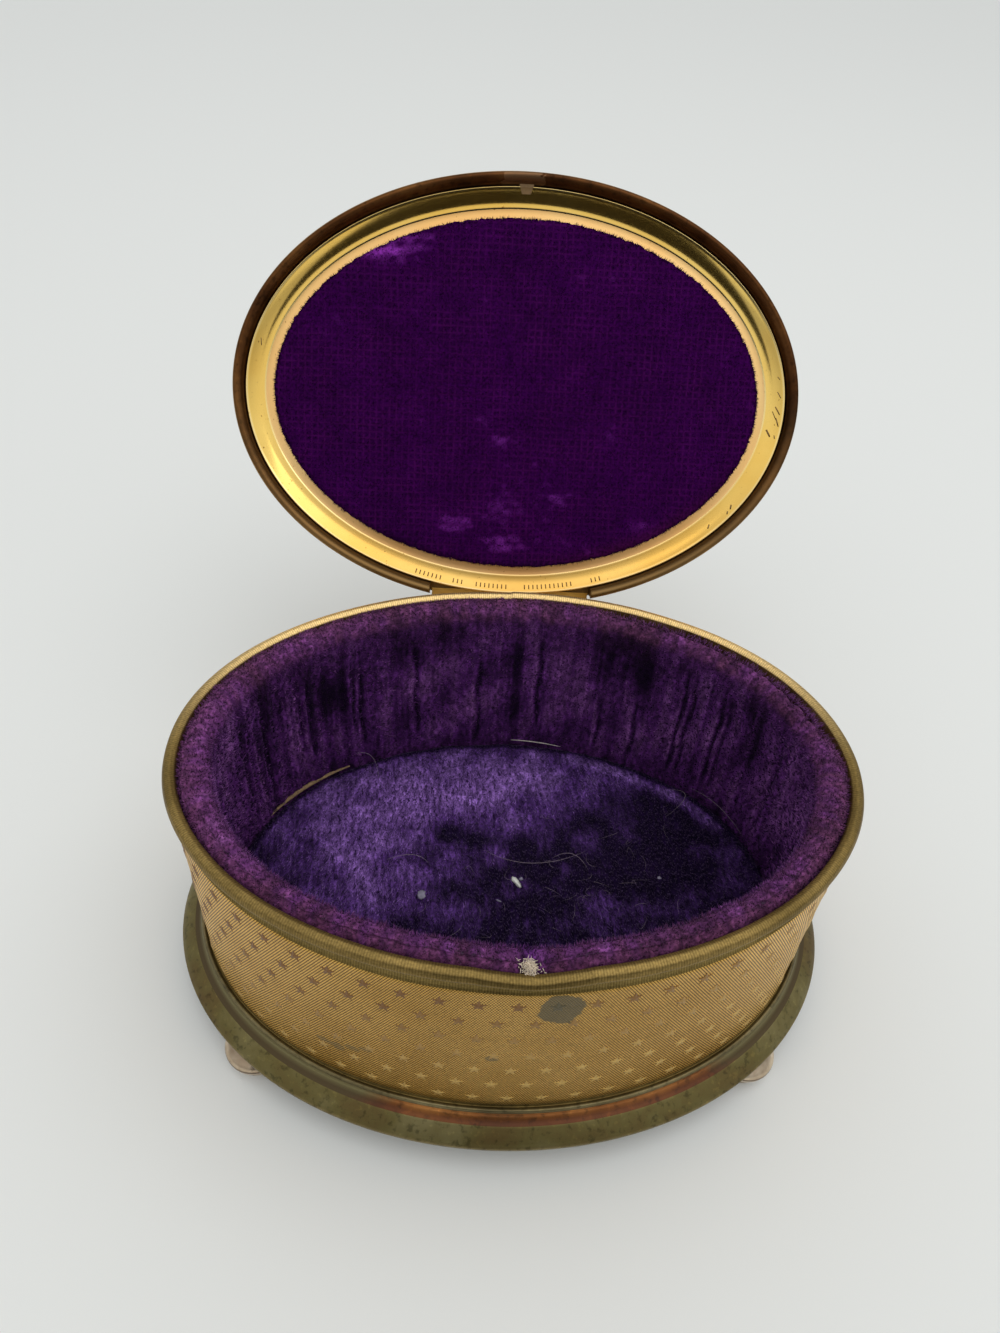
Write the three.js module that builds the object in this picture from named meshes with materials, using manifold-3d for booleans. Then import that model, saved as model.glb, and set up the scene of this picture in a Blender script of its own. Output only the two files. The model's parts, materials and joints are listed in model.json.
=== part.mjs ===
// Oval metal trinket box on four bun feet, with a velvet lining and a hinged lid, shown open.
// Millimetres, +Z up, front towards -Y. The origin is the bottom centre of the open box.

import * as THREE from "three";
import { mergeVertices } from "three/addons/utils/BufferGeometryUtils.js";
import Module from "manifold-3d";

const wasm = await Module();
wasm.setup();

// Driving dimensions of the box
const RIM_WIDTH = 100;
const RIM_DEPTH = 72;
const RIM_HEIGHT = 48.3;
const WALL = 0.9;
const WALL_INSET_TOP = 0.7;
const WALL_INSET_FOOT = 0.1;
const BEAD_RADIUS = 1.0;
const COVE_HEIGHT = 2.4;
const COVE_DEPTH = 0.4;

// Driving dimensions of the base moulding
const FLANGE_REACH = 4.5;
const FLANGE_EDGE = 0.7;
const MOULDING_HEIGHT = 5.0;
const SLOPE_REACH = 2.4;
const SLOPE_RISE = 2.1;
const FLANGE_CHAMFER = 0.2;
const LEDGE_REACH = 0.55;
const LEDGE_RISE = 0.45;
const FOOT_BEAD_RADIUS = 0.35;
const FLANGE_RING_WIDTH = 10.5;
const BASE_PLATE = 1.2;

// Driving dimensions of the feet
const FOOT_HEIGHT = 6.5;
const FOOT_RADIUS = 5.0;
const FOOT_DISC_RADIUS = 4.1;
const FOOT_NECK_RADIUS = 2.6;
const FOOT_CHAMFER = 0.4;
const FOOT_INSET = 3.8;
const FOOT_TURN = THREE.MathUtils.degToRad(50);

// Driving dimensions of the velvet lining
const LINING_THICKNESS = 3.4;
const ROLL_BULGE = 1.1;
const ROLL_RADIUS = 2.1;
const ROLL_PROUD = 0.4;
const PAD_THICKNESS = 2.8;
const PAD_CROWN = 0.6;
const PAD_EDGE_REACH = 0.8;
const PAD_EDGE_DROP = 0.6;

// Wear at the middle of the front rim: a shallow dip pressed into rim and lining
const DIP_DEPTH = 1.2;
const DIP_HALF_WIDTH = 7;
const DIP_CENTRE = 1.5;
const DIP_REACH_DOWN = 6;

// Driving dimensions of the lid, which is as wide as the rim and a little deeper
const LID_OPEN_ANGLE = THREE.MathUtils.degToRad(122);
const LID_OVERHANG = 0.8;
const LID_WIDTH = RIM_WIDTH;
const LID_DEPTH = RIM_DEPTH + 2 * LID_OVERHANG;
const LID_SKIRT_HEIGHT = 5.2;
const LID_EDGE_WIDTH = 1.2;
const LID_WALL = 0.9;
const LID_EDGE_BEAD = 0.3;
const LID_EDGE_ROUND = 0.4;
const LID_BEAD_HEIGHT = 1.1;
const LID_SHOULDER = 0.8;
const LID_LIP = 0.15;
const LID_DOME_RISE = 6.0;
const LINER_INSET = 2.0;
const LINER_RECESS = 1.7;
const LINER_SHEET = 0.5;
const LINER_COVE_WIDTH = 3.6;
const LINER_COVE_DEPTH = 1.3;
const LINER_STEP = 0.35;
const LINER_BAND_WIDTH = 1.3;
const LINER_EDGE_ROUND = 0.1;
const PANEL_THICKNESS = 0.9;
const PANEL_CROWN = 0.3;

// Driving dimensions of the hinge
const HINGE_WIDTH = 29;
const HINGE_DROP = 5.8;
const BARREL_RADIUS = 1.2;
const PIN_RADIUS = 0.45;
const PIN_HEAD_RADIUS = 0.8;
const PIN_HEAD_LENGTH = 0.5;
const LEAF_SHEET = 0.7;
const LID_KNUCKLE_WIDTH = 9.4;
const BODY_LEAF_HEIGHT = 5.5;
const LEAF_TAB_WIDTH = 14;
const BRIDGE_RISE = 0.8;

// Clearances: still pieces that touch, the closed lid above the rim, and turning pieces
const SEAT_GAP = 0.2;
const LID_GAP = 0.3;
const TURN_GAP = 0.3;
const PIN_GAP = 0.3;

// Facets
const OVAL_SIDES = 48;
const FOOT_SIDES = 16;
const BARREL_SIDES = 12;

// Heights and half sizes that follow
const RIM_OVAL = { halfWidth: RIM_WIDTH / 2, halfDepth: RIM_DEPTH / 2 };
const LID_OVAL = { halfWidth: LID_WIDTH / 2, halfDepth: LID_DEPTH / 2 };
const AXIS = -RIM_OVAL.halfDepth;
const LID_AXIS = -LID_OVAL.halfDepth;
const PLATE_TOP = FOOT_HEIGHT + MOULDING_HEIGHT;
const BAND_FOOT = PLATE_TOP + SEAT_GAP;
const BEAD_CENTRE = RIM_HEIGHT - BEAD_RADIUS;
const COVE_TOP = RIM_HEIGHT - 2 * BEAD_RADIUS;
const COVE_FOOT = COVE_TOP - COVE_HEIGHT;
const LID_PLANE = RIM_HEIGHT + LID_GAP;
const HINGE_Z = RIM_HEIGHT - HINGE_DROP;
const HINGE_Y = RIM_OVAL.halfDepth + BARREL_RADIUS - WALL_INSET_TOP + SEAT_GAP + TURN_GAP;

// A section is a list of points [reach, height]. Reach is the distance outwards from the
// oval's outline, negative inwards. AXIS and LID_AXIS are the middle of the two ovals.

// Sections stay parallel to the outline over this width, and become smaller copies inside it
const PARALLEL_WIDTH = RIM_DEPTH / 6;

function parallelOval(oval, turn, reach) {
  const across = Math.sin(turn);
  const along = -Math.cos(turn);
  const normal = new THREE.Vector2(across / oval.halfWidth, along / oval.halfDepth).normalize();
  const outline = new THREE.Vector2(oval.halfWidth * across, oval.halfDepth * along);
  return outline.addScaledVector(normal, reach);
}

function ovalPoint(oval, turn, reach) {
  if (reach >= -PARALLEL_WIDTH) {
    return parallelOval(oval, turn, reach);
  }
  const share = (oval.halfDepth + reach) / (oval.halfDepth - PARALLEL_WIDTH);
  return parallelOval(oval, turn, -PARALLEL_WIDTH).multiplyScalar(share);
}

// Sweeps a section around an oval. A section starts and ends in the middle or closes on itself.
function ovalSweep(oval, section) {
  const profile = section.map(([reach, height]) => new THREE.Vector2(oval.halfDepth + reach, height));
  const geometry = new THREE.LatheGeometry(profile, OVAL_SIDES);
  const position = geometry.attributes.position;
  const columns = profile.length;
  for (let index = 0; index < position.count; index += 1) {
    const column = index % columns;
    const side = Math.floor(index / columns) % OVAL_SIDES;
    const turn = (side / OVAL_SIDES) * 2 * Math.PI;
    const place = ovalPoint(oval, turn, section[column][0]);
    position.setXYZ(index, place.x, place.y, profile[column].y);
  }
  return shared(geometry);
}

// Keeps positions only and merges equal corners, so that the surface is one closed body
function shared(geometry) {
  geometry.deleteAttribute("normal");
  geometry.deleteAttribute("uv");
  return mergeVertices(geometry, 1e-4);
}

function arc(centreReach, centreHeight, radius, fromDegrees, toDegrees, steps) {
  const points = [];
  for (let step = 0; step <= steps; step += 1) {
    const degrees = fromDegrees + ((toDegrees - fromDegrees) * step) / steps;
    const angle = THREE.MathUtils.degToRad(degrees);
    const reach = centreReach + radius * Math.cos(angle);
    points.push([reach, centreHeight + radius * Math.sin(angle)]);
  }
  return points;
}

function closed(section) {
  return [...section, section[0]];
}

// Presses the front dip into a swept piece: full depth at the rim, none below DIP_REACH_DOWN
function pressFrontDip(geometry) {
  const position = geometry.attributes.position;
  for (let index = 0; index < position.count; index += 1) {
    const offset = Math.abs(position.getX(index) - DIP_CENTRE) / DIP_HALF_WIDTH;
    const height = (position.getZ(index) - (RIM_HEIGHT - DIP_REACH_DOWN)) / DIP_REACH_DOWN;
    if (position.getY(index) < 0 && offset < 1 && height > 0) {
      const drop = DIP_DEPTH * (1 - offset) * Math.min(height, 1);
      position.setZ(index, position.getZ(index) - drop);
    }
  }
  return geometry;
}

// Solids for cuts and joins
function solid(geometry) {
  const mesh = geometry.index === null || geometry.attributes.normal ? shared(geometry) : geometry;
  return new wasm.Manifold(new wasm.Mesh({
    numProp: 3,
    vertProperties: new Float32Array(mesh.attributes.position.array),
    triVerts: new Uint32Array(mesh.index.array),
  }));
}

function surface(manifold) {
  const mesh = manifold.getMesh();
  const geometry = new THREE.BufferGeometry();
  geometry.setAttribute("position", new THREE.BufferAttribute(new Float32Array(mesh.vertProperties), 3));
  geometry.setIndex(new THREE.BufferAttribute(new Uint32Array(mesh.triVerts), 1));
  return geometry;
}

function block(xRange, yRange, zRange) {
  const size = [xRange, yRange, zRange].map(([low, high]) => high - low);
  const centre = [xRange, yRange, zRange].map(([low, high]) => (low + high) / 2);
  return solid(new THREE.BoxGeometry(...size).translate(...centre));
}

function rod(radius, fromX, toX, y, z) {
  const geometry = new THREE.CylinderGeometry(radius, radius, toX - fromX, BARREL_SIDES);
  geometry.rotateZ(-Math.PI / 2);
  return solid(geometry.translate((fromX + toX) / 2, y, z));
}

function brass(color, roughness) {
  return new THREE.MeshStandardMaterial({ color, roughness, metalness: 1 });
}

function velvet(color) {
  return new THREE.MeshStandardMaterial({ color, roughness: 0.95, metalness: 0 });
}

function piece(name, geometry, material) {
  const mesh = new THREE.Mesh(geometry, material);
  mesh.name = name;
  return mesh;
}

// Base: stepped oval moulding around a plate, with a flat ring underneath for the feet
function makeBase() {
  const edgeTop = FOOT_HEIGHT + FLANGE_EDGE;
  const slopeIn = FLANGE_REACH - SLOPE_REACH;
  const slopeTop = edgeTop + SLOPE_RISE;
  const ringIn = FLANGE_REACH - FLANGE_RING_WIDTH;
  const beadCentre = FOOT_BEAD_RADIUS + WALL * 0.1;
  const plateUnder = PLATE_TOP - BASE_PLATE;
  return ovalSweep(RIM_OVAL, [
    [AXIS, plateUnder],
    [ringIn, plateUnder],
    [ringIn, FOOT_HEIGHT],
    [FLANGE_REACH - FLANGE_CHAMFER, FOOT_HEIGHT],
    [FLANGE_REACH, FOOT_HEIGHT + FLANGE_CHAMFER],
    [FLANGE_REACH, edgeTop],
    [FLANGE_REACH - SLOPE_REACH * 0.3, edgeTop + SLOPE_RISE * 0.45],
    [slopeIn, slopeTop],
    [slopeIn - LEDGE_REACH, slopeTop + LEDGE_RISE],
    [beadCentre + FOOT_BEAD_RADIUS, PLATE_TOP - FOOT_BEAD_RADIUS],
    ...arc(beadCentre, PLATE_TOP, FOOT_BEAD_RADIUS, 0, 150, 3),
    [AXIS, PLATE_TOP],
  ]);
}

// Body: thin oval band, a little wider at its foot, with a cove and a bead at the rim
function makeBodyBand() {
  const beadCentre = -BEAD_RADIUS;
  const inner = -WALL_INSET_TOP - WALL;
  return pressFrontDip(ovalSweep(RIM_OVAL, closed([
    [-WALL_INSET_FOOT, BAND_FOOT],
    [-WALL_INSET_TOP, COVE_FOOT],
    [-WALL_INSET_TOP - COVE_DEPTH, COVE_FOOT + COVE_HEIGHT * 0.35],
    [-WALL_INSET_TOP - COVE_DEPTH, COVE_FOOT + COVE_HEIGHT * 0.75],
    ...arc(beadCentre, BEAD_CENTRE, BEAD_RADIUS, -60, 150, 7),
    [inner - BEAD_RADIUS * 0.3, COVE_TOP],
    [inner, COVE_FOOT],
    [-WALL_INSET_FOOT - WALL, BAND_FOOT],
  ])));
}

// Velvet wall lining with a rolled top edge, inside the band
function makeWallLining() {
  const outerFoot = -WALL_INSET_FOOT - WALL - SEAT_GAP;
  const outerTop = -WALL_INSET_TOP - WALL - SEAT_GAP;
  const inner = outerTop - LINING_THICKNESS;
  const rollTop = RIM_HEIGHT + ROLL_PROUD;
  const rollCentre = -2 * BEAD_RADIUS - SEAT_GAP - ROLL_RADIUS;
  return pressFrontDip(ovalSweep(RIM_OVAL, closed([
    [outerFoot, BAND_FOOT],
    [outerTop, COVE_FOOT],
    [-2 * BEAD_RADIUS - SEAT_GAP, BEAD_CENTRE - BEAD_RADIUS],
    ...arc(rollCentre, rollTop - ROLL_RADIUS, ROLL_RADIUS, 0, 180, 6),
    [inner - ROLL_BULGE * 0.6, rollTop - 3 * ROLL_RADIUS],
    [inner, rollTop - 6 * ROLL_RADIUS],
    [inner, BAND_FOOT],
  ])));
}

// Velvet floor pad on a card, inside the lining
function makeFloorPad() {
  const edge = -WALL_INSET_TOP - WALL - 2 * SEAT_GAP - LINING_THICKNESS;
  const under = BAND_FOOT;
  const edgeTop = under + PAD_THICKNESS;
  return ovalSweep(RIM_OVAL, [
    [AXIS, under],
    [edge, under],
    [edge, edgeTop - PAD_EDGE_DROP],
    [edge - PAD_EDGE_REACH, edgeTop],
    [AXIS * 0.6, edgeTop + PAD_CROWN * 0.7],
    [AXIS, edgeTop + PAD_CROWN],
  ]);
}

// Bun foot: flat disc, groove, bun and neck
function makeFoot() {
  const top = FOOT_HEIGHT - SEAT_GAP;
  const bunCentre = FOOT_HEIGHT * 0.5;
  const bunHalf = FOOT_HEIGHT * 0.34;
  const bulge = FOOT_RADIUS - FOOT_NECK_RADIUS;
  const bun = [-1, -0.6, 0, 0.6, 1].map((share) => new THREE.Vector2(
    FOOT_NECK_RADIUS + bulge * (1 - share * share * (share < 0 ? 0.45 : 0.9)),
    bunCentre + bunHalf * share,
  ));
  const profile = [
    new THREE.Vector2(0, 0),
    new THREE.Vector2(FOOT_DISC_RADIUS - FOOT_CHAMFER, 0),
    new THREE.Vector2(FOOT_DISC_RADIUS, FOOT_HEIGHT * 0.05),
    new THREE.Vector2(FOOT_DISC_RADIUS, FOOT_HEIGHT * 0.11),
    ...bun,
    new THREE.Vector2(FOOT_NECK_RADIUS, top),
    new THREE.Vector2(0, top),
  ];
  return shared(new THREE.LatheGeometry(profile, FOOT_SIDES).rotateX(Math.PI / 2));
}

// Lid shell: skirt with a rounded edge and a low dome, cut open at the back for the hinge leaf
function makeLidShell() {
  const skirtTop = LID_PLANE + LID_SKIRT_HEIGHT;
  const domeReach = -LID_WALL - LID_EDGE_BEAD;
  const domeRadius = LID_OVAL.halfDepth + domeReach;
  const dome = [1, 0.86, 0.68, 0.45, 0.2, 0].map((share) => [
    domeRadius * share - LID_OVAL.halfDepth,
    skirtTop + LID_SHOULDER + LID_DOME_RISE * (1 - share * share),
  ]);
  const underDome = [...dome].reverse().map(([reach, height]) => [reach, height - LID_WALL]);
  const inner = -LINER_INSET + SEAT_GAP;
  const shell = ovalSweep(LID_OVAL, [
    ...underDome.slice(0, -1),
    [inner, skirtTop - LID_WALL],
    [inner, LID_PLANE + LINER_RECESS],
    [-LID_EDGE_WIDTH, LID_PLANE + LID_LIP],
    [-LID_EDGE_WIDTH * 0.6, LID_PLANE],
    [-LID_EDGE_BEAD, LID_PLANE],
    [0, LID_PLANE + LID_EDGE_ROUND],
    [0, LID_PLANE + LID_BEAD_HEIGHT],
    [-LID_EDGE_BEAD, LID_PLANE + LID_BEAD_HEIGHT + LID_EDGE_BEAD],
    [-LID_EDGE_BEAD, skirtTop - 2 * LID_EDGE_BEAD],
    [0, skirtTop - LID_EDGE_BEAD],
    [0, skirtTop + LID_EDGE_ROUND],
    ...dome,
  ]);
  const half = HINGE_WIDTH / 2 + TURN_GAP;
  const bridgeTop = LID_PLANE + LINER_RECESS + LINER_SHEET + BRIDGE_RISE + LEAF_SHEET;
  const back = LID_OVAL.halfDepth + BARREL_RADIUS;
  const front = LID_OVAL.halfDepth * 0.7;
  return surface(solid(shell).subtract(
    block([-half, half], [front, back], [LID_PLANE - 1, bridgeTop + TURN_GAP]),
  ));
}

// Gilt liner: stamped oval pan inside the lid, with a coved border, a step and a flat band
function makeLidLiner() {
  const lip = LID_PLANE + LINER_RECESS;
  const coveIn = -LINER_INSET - LINER_COVE_WIDTH;
  const coveDeep = lip + LINER_COVE_DEPTH;
  const stepTop = coveDeep - LINER_STEP;
  const flat = coveDeep;
  return ovalSweep(LID_OVAL, [
    [LID_AXIS, flat],
    [coveIn - LINER_BAND_WIDTH, flat],
    [coveIn - LINER_BAND_WIDTH * 0.4, flat],
    [coveIn - LINER_BAND_WIDTH * 0.15, stepTop],
    [coveIn, stepTop],
    [coveIn + LINER_STEP, coveDeep],
    [coveIn + LINER_COVE_WIDTH * 0.45, lip + LINER_COVE_DEPTH * 0.72],
    [-LINER_INSET - 4 * LINER_EDGE_ROUND, lip + LINER_EDGE_ROUND],
    [-LINER_INSET - LINER_EDGE_ROUND, lip],
    [-LINER_INSET, lip + LINER_EDGE_ROUND],
    [-LINER_INSET, lip + LINER_SHEET],
    [coveIn + LINER_COVE_WIDTH * 0.45, lip + LINER_COVE_DEPTH * 0.72 + LINER_SHEET],
    [coveIn, coveDeep + LINER_SHEET],
    [LID_AXIS, coveDeep + LINER_SHEET],
  ]);
}

// Velvet panel laid on the flat of the liner
function makeLidPanel() {
  const edge = -LINER_INSET - LINER_COVE_WIDTH - LINER_BAND_WIDTH;
  const back = LID_PLANE + LINER_RECESS + LINER_COVE_DEPTH - SEAT_GAP;
  return ovalSweep(LID_OVAL, [
    [LID_AXIS, back - PANEL_THICKNESS - PANEL_CROWN],
    [LID_AXIS * 0.6, back - PANEL_THICKNESS - PANEL_CROWN * 0.8],
    [edge - PANEL_THICKNESS, back - PANEL_THICKNESS],
    [edge, back - PANEL_THICKNESS * 0.6],
    [edge, back],
    [LID_AXIS, back],
  ]);
}

// Fixed hinge leaf: plate hollowed to the band's curve, with a knuckle at each end
function makeHingeBodyLeaf() {
  const half = HINGE_WIDTH / 2;
  const knuckleIn = LID_KNUCKLE_WIDTH / 2 + TURN_GAP;
  const leafBack = HINGE_Y - LEAF_SHEET / 2;
  const front = RIM_OVAL.halfDepth * 0.85;
  const top = HINGE_Z - BARREL_RADIUS - TURN_GAP;
  const plate = block([-half, half], [front, leafBack], [top - BODY_LEAF_HEIGHT, top]);
  const bandRoom = solid(ovalSweep(RIM_OVAL, [
    [AXIS, FOOT_HEIGHT],
    [SEAT_GAP - WALL_INSET_TOP, FOOT_HEIGHT],
    [SEAT_GAP - WALL_INSET_TOP, LID_PLANE],
    [AXIS, LID_PLANE],
  ]));
  const ends = [[-half, -knuckleIn], [knuckleIn, half]].map(([from, to]) => (
    block([from, to], [front, leafBack], [top - 1, HINGE_Z])
      .add(rod(BARREL_RADIUS, from, to, HINGE_Y, HINGE_Z))
  ));
  const bore = rod(PIN_RADIUS + PIN_GAP, -half - 1, half + 1, HINGE_Y, HINGE_Z);
  return surface(plate.add(ends[0]).add(ends[1]).subtract(bandRoom).subtract(bore));
}

// Hinge pin with a flat head at each end
function makeHingePin() {
  const half = HINGE_WIDTH / 2 + TURN_GAP;
  const end = half + PIN_HEAD_LENGTH;
  return surface(rod(PIN_RADIUS, -half - 0.1, half + 0.1, HINGE_Y, HINGE_Z)
    .add(rod(PIN_HEAD_RADIUS, -end, -half, HINGE_Y, HINGE_Z))
    .add(rod(PIN_HEAD_RADIUS, half, end, HINGE_Y, HINGE_Z)));
}

// Moving hinge leaf: middle knuckle, flat strip behind the rim, and a bent tab inside the lid
function makeHingeLidLeaf() {
  const half = HINGE_WIDTH / 2;
  const knuckle = LID_KNUCKLE_WIDTH / 2;
  const stripFront = HINGE_Y + BARREL_RADIUS - LEAF_SHEET;
  const stripBack = HINGE_Y + BARREL_RADIUS;
  const tabBack = LID_OVAL.halfDepth - LINER_INSET - 2 * SEAT_GAP;
  const tabHalf = LEAF_TAB_WIDTH / 2;
  const bridgeUnder = LID_PLANE + LINER_RECESS + LINER_SHEET + BRIDGE_RISE;
  const bridgeTop = bridgeUnder + LEAF_SHEET;
  const strip = block([-half, half], [stripFront, stripBack],
    [HINGE_Z + BARREL_RADIUS + TURN_GAP, bridgeTop]);
  const tongue = block([-knuckle, knuckle], [stripFront, stripBack], [HINGE_Z, bridgeTop]);
  const bridge = block([-half, half], [tabBack, stripBack], [bridgeUnder, bridgeTop]);
  const tab = block([-tabHalf, tabHalf], [tabBack - LEAF_SHEET, tabBack],
    [bridgeUnder, LID_PLANE + LID_SKIRT_HEIGHT - LID_WALL - SEAT_GAP]);
  const bore = rod(PIN_RADIUS + PIN_GAP, -half, half, HINGE_Y, HINGE_Z);
  return surface(strip.add(tongue).add(bridge).add(tab)
    .add(rod(BARREL_RADIUS, -knuckle, knuckle, HINGE_Y, HINGE_Z))
    .subtract(bore));
}

// Box body
const box = new THREE.Group();
box.add(
  piece("base", makeBase(), brass(0x6f6a48, 0.55)),
  piece("body_band", makeBodyBand(), brass(0xa8894a, 0.45)),
  piece("wall_lining", makeWallLining(), velvet(0x4b2369)),
  piece("floor_pad", makeFloorPad(), velvet(0x50377f)),
);
const FOOT_PLACES = {
  foot_front_right: FOOT_TURN,
  foot_back_right: Math.PI - FOOT_TURN,
  foot_back_left: Math.PI + FOOT_TURN,
  foot_front_left: -FOOT_TURN,
};
for (const [name, turn] of Object.entries(FOOT_PLACES)) {
  const foot = piece(name, makeFoot(), brass(0xc8b4a0, 0.35));
  const place = parallelOval(RIM_OVAL, turn, FLANGE_REACH - FOOT_INSET);
  foot.position.set(place.x, place.y, 0);
  box.add(foot);
}
box.add(
  piece("hinge_body_leaf", makeHingeBodyLeaf(), brass(0xc9a557, 0.4)),
  piece("hinge_pin", makeHingePin(), brass(0xb89a5a, 0.35)),
);

// Lid, turned about the hinge pin from its closed place to open
const lidPieces = new THREE.Group();
lidPieces.add(
  piece("hinge_lid_leaf", makeHingeLidLeaf(), brass(0xd8b45a, 0.35)),
  piece("lid_shell", makeLidShell(), brass(0x5a3a1c, 0.5)),
  piece("lid_liner", makeLidLiner(), brass(0xe0b85a, 0.25)),
  piece("lid_panel", makeLidPanel(), velvet(0x2d0540)),
);
lidPieces.position.set(0, -HINGE_Y, -HINGE_Z);
const lid = new THREE.Group();
lid.position.set(0, HINGE_Y, HINGE_Z);
lid.rotation.x = -LID_OPEN_ANGLE;
lid.add(lidPieces);

const trinketBox = new THREE.Group();
trinketBox.add(box, lid);
trinketBox.updateMatrixWorld(true);
const extent = new THREE.Box3().setFromObject(trinketBox, true);
const middle = extent.getCenter(new THREE.Vector3());
trinketBox.position.set(-middle.x, -middle.y, -extent.min.z);

export default trinketBox;
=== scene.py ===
"""Looks of an oval metal trinket box: hatched gilt band, patinated base, velvet lining."""
import json
import math

import bpy
import numpy as np
from mathutils import Matrix, Vector


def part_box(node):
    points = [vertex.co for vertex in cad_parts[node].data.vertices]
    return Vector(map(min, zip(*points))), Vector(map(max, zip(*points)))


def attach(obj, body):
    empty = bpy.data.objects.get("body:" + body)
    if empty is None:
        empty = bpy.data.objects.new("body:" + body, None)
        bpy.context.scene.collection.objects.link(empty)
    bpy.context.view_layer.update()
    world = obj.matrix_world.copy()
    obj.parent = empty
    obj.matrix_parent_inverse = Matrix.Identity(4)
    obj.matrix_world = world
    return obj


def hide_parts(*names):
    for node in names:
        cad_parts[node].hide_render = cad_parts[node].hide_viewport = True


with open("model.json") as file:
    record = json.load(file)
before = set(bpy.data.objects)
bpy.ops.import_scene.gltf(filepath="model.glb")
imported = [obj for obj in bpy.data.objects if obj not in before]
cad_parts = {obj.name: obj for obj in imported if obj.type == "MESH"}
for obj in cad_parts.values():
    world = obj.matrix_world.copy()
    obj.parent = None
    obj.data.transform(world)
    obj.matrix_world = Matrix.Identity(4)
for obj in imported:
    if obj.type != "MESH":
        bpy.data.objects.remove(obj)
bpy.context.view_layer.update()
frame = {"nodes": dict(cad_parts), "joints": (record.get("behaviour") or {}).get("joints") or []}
bpy.context.scene.view_settings.view_transform = "Standard"

# Shapes are worked out in millimetres and written in metres
MM = 0.001
TAU = 2 * math.pi


def box_mm(node):
    low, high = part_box(node)
    return np.array(low) / MM, np.array(high) / MM


# Places taken from the frame
BAND_LOW, BAND_HIGH = box_mm("body_band")
BASE_LOW, BASE_HIGH = box_mm("base")
LINING_HIGH = box_mm("wall_lining")[1]
PAD_LOW, PAD_HIGH = box_mm("floor_pad")
CENTRE_Y = (BAND_LOW[1] + BAND_HIGH[1]) / 2
RIM_TOP = BAND_HIGH[2]
BAND_FOOT = BAND_LOW[2]
FLANGE_UNDER = BASE_LOW[2]
FLANGE_REACH = BASE_HIGH[0] - BAND_HIGH[0]
HINGE = frame["joints"][0]
HINGE_Y = HINGE["pos_m"][1] / MM
HINGE_Z = HINGE["pos_m"][2] / MM
LID_OPEN = math.radians(HINGE["range_deg"][1])

# Sizes repeated from the part's source
SEAT_GAP = 0.2
TURN_GAP = 0.3
WALL = 0.9
WALL_INSET_TOP = 0.7
WALL_INSET_FOOT = 0.1
BEAD_RADIUS = 1.0
COVE_HEIGHT = 2.4
COVE_DEPTH = 0.4
FLANGE_EDGE = 0.7
MOULDING_HEIGHT = 5.0
SLOPE_REACH = 2.4
SLOPE_RISE = 2.1
FOOT_BEAD_RADIUS = 0.35
FLANGE_RING_WIDTH = 10.5
BASE_PLATE = 1.2
FOOT_RADIUS = 5.0
FOOT_DISC_RADIUS = 4.1
FOOT_NECK_RADIUS = 2.6
LINING_THICKNESS = 3.4
ROLL_BULGE = 1.1
ROLL_RADIUS = 2.1
PAD_CROWN = 0.6
DIP_DEPTH = 1.2
DIP_HALF_WIDTH = 7
DIP_CENTRE = 1.5
DIP_REACH_DOWN = 6
LID_DEPTH = 73.6
LID_SKIRT_HEIGHT = 5.2
LID_EDGE_WIDTH = 1.2
LID_WALL = 0.9
LID_EDGE_BEAD = 0.3
LID_DOME_RISE = 6.0
LINER_INSET = 2.0
LINER_RECESS = 1.7
LINER_SHEET = 0.5
LINER_COVE_WIDTH = 3.1
LINER_COVE_DEPTH = 1.3
LINER_STEP = 0.1
LINER_BAND_WIDTH = 1.8
PANEL_THICKNESS = 0.9
PANEL_CROWN = 0.3
HINGE_WIDTH = 29
LEAF_SHEET = 0.7
BRIDGE_RISE = 0.8

LID_PLANE = RIM_TOP + 0.3
PLATE_TOP = FLANGE_UNDER + MOULDING_HEIGHT
COVE_TOP = RIM_TOP - 2 * BEAD_RADIUS
COVE_FOOT = COVE_TOP - COVE_HEIGHT
PARALLEL_WIDTH = (BAND_HIGH[1] - BAND_LOW[1]) / 6


class Oval:
    """An ellipse with sections laid parallel to it, in millimetres."""

    def __init__(self, half_width, half_depth):
        self.half_width = half_width
        self.half_depth = half_depth

    def point(self, turn, reach):
        """Turn 0 is the front, a quarter turn is +X. Reach is the distance outwards."""
        across, along = np.sin(turn), -np.cos(turn)
        normal_x, normal_y = across / self.half_width, along / self.half_depth
        size = np.hypot(normal_x, normal_y)
        kept = np.maximum(reach, -PARALLEL_WIDTH)
        inside = (self.half_depth + reach) / (self.half_depth - PARALLEL_WIDTH)
        share = np.where(reach < -PARALLEL_WIDTH, inside, 1.0)
        x = self.half_width * across + kept * normal_x / size
        y = self.half_depth * along + kept * normal_y / size
        return x * share, y * share + CENTRE_Y

    def arc_lengths(self, turn, reach):
        x, y = self.point(turn, reach + 0 * turn)
        steps = np.hypot(np.diff(x), np.diff(y))
        return np.concatenate([[0], np.cumsum(steps)])

    def even_turns(self, count, reach):
        """Turns that are evenly spaced along the outline at that reach."""
        fine = np.linspace(0, TAU, 4001)
        lengths = self.arc_lengths(fine, reach)
        return np.interp(np.arange(count) / count * lengths[-1], lengths, fine), lengths[-1]


RIM = Oval((BAND_HIGH[0] - BAND_LOW[0]) / 2, (BAND_HIGH[1] - BAND_LOW[1]) / 2)
LID = Oval(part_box("lid_shell")[1][0] / MM, LID_DEPTH / 2)
AXIS = -RIM.half_depth
LID_AXIS = -LID.half_depth


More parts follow.
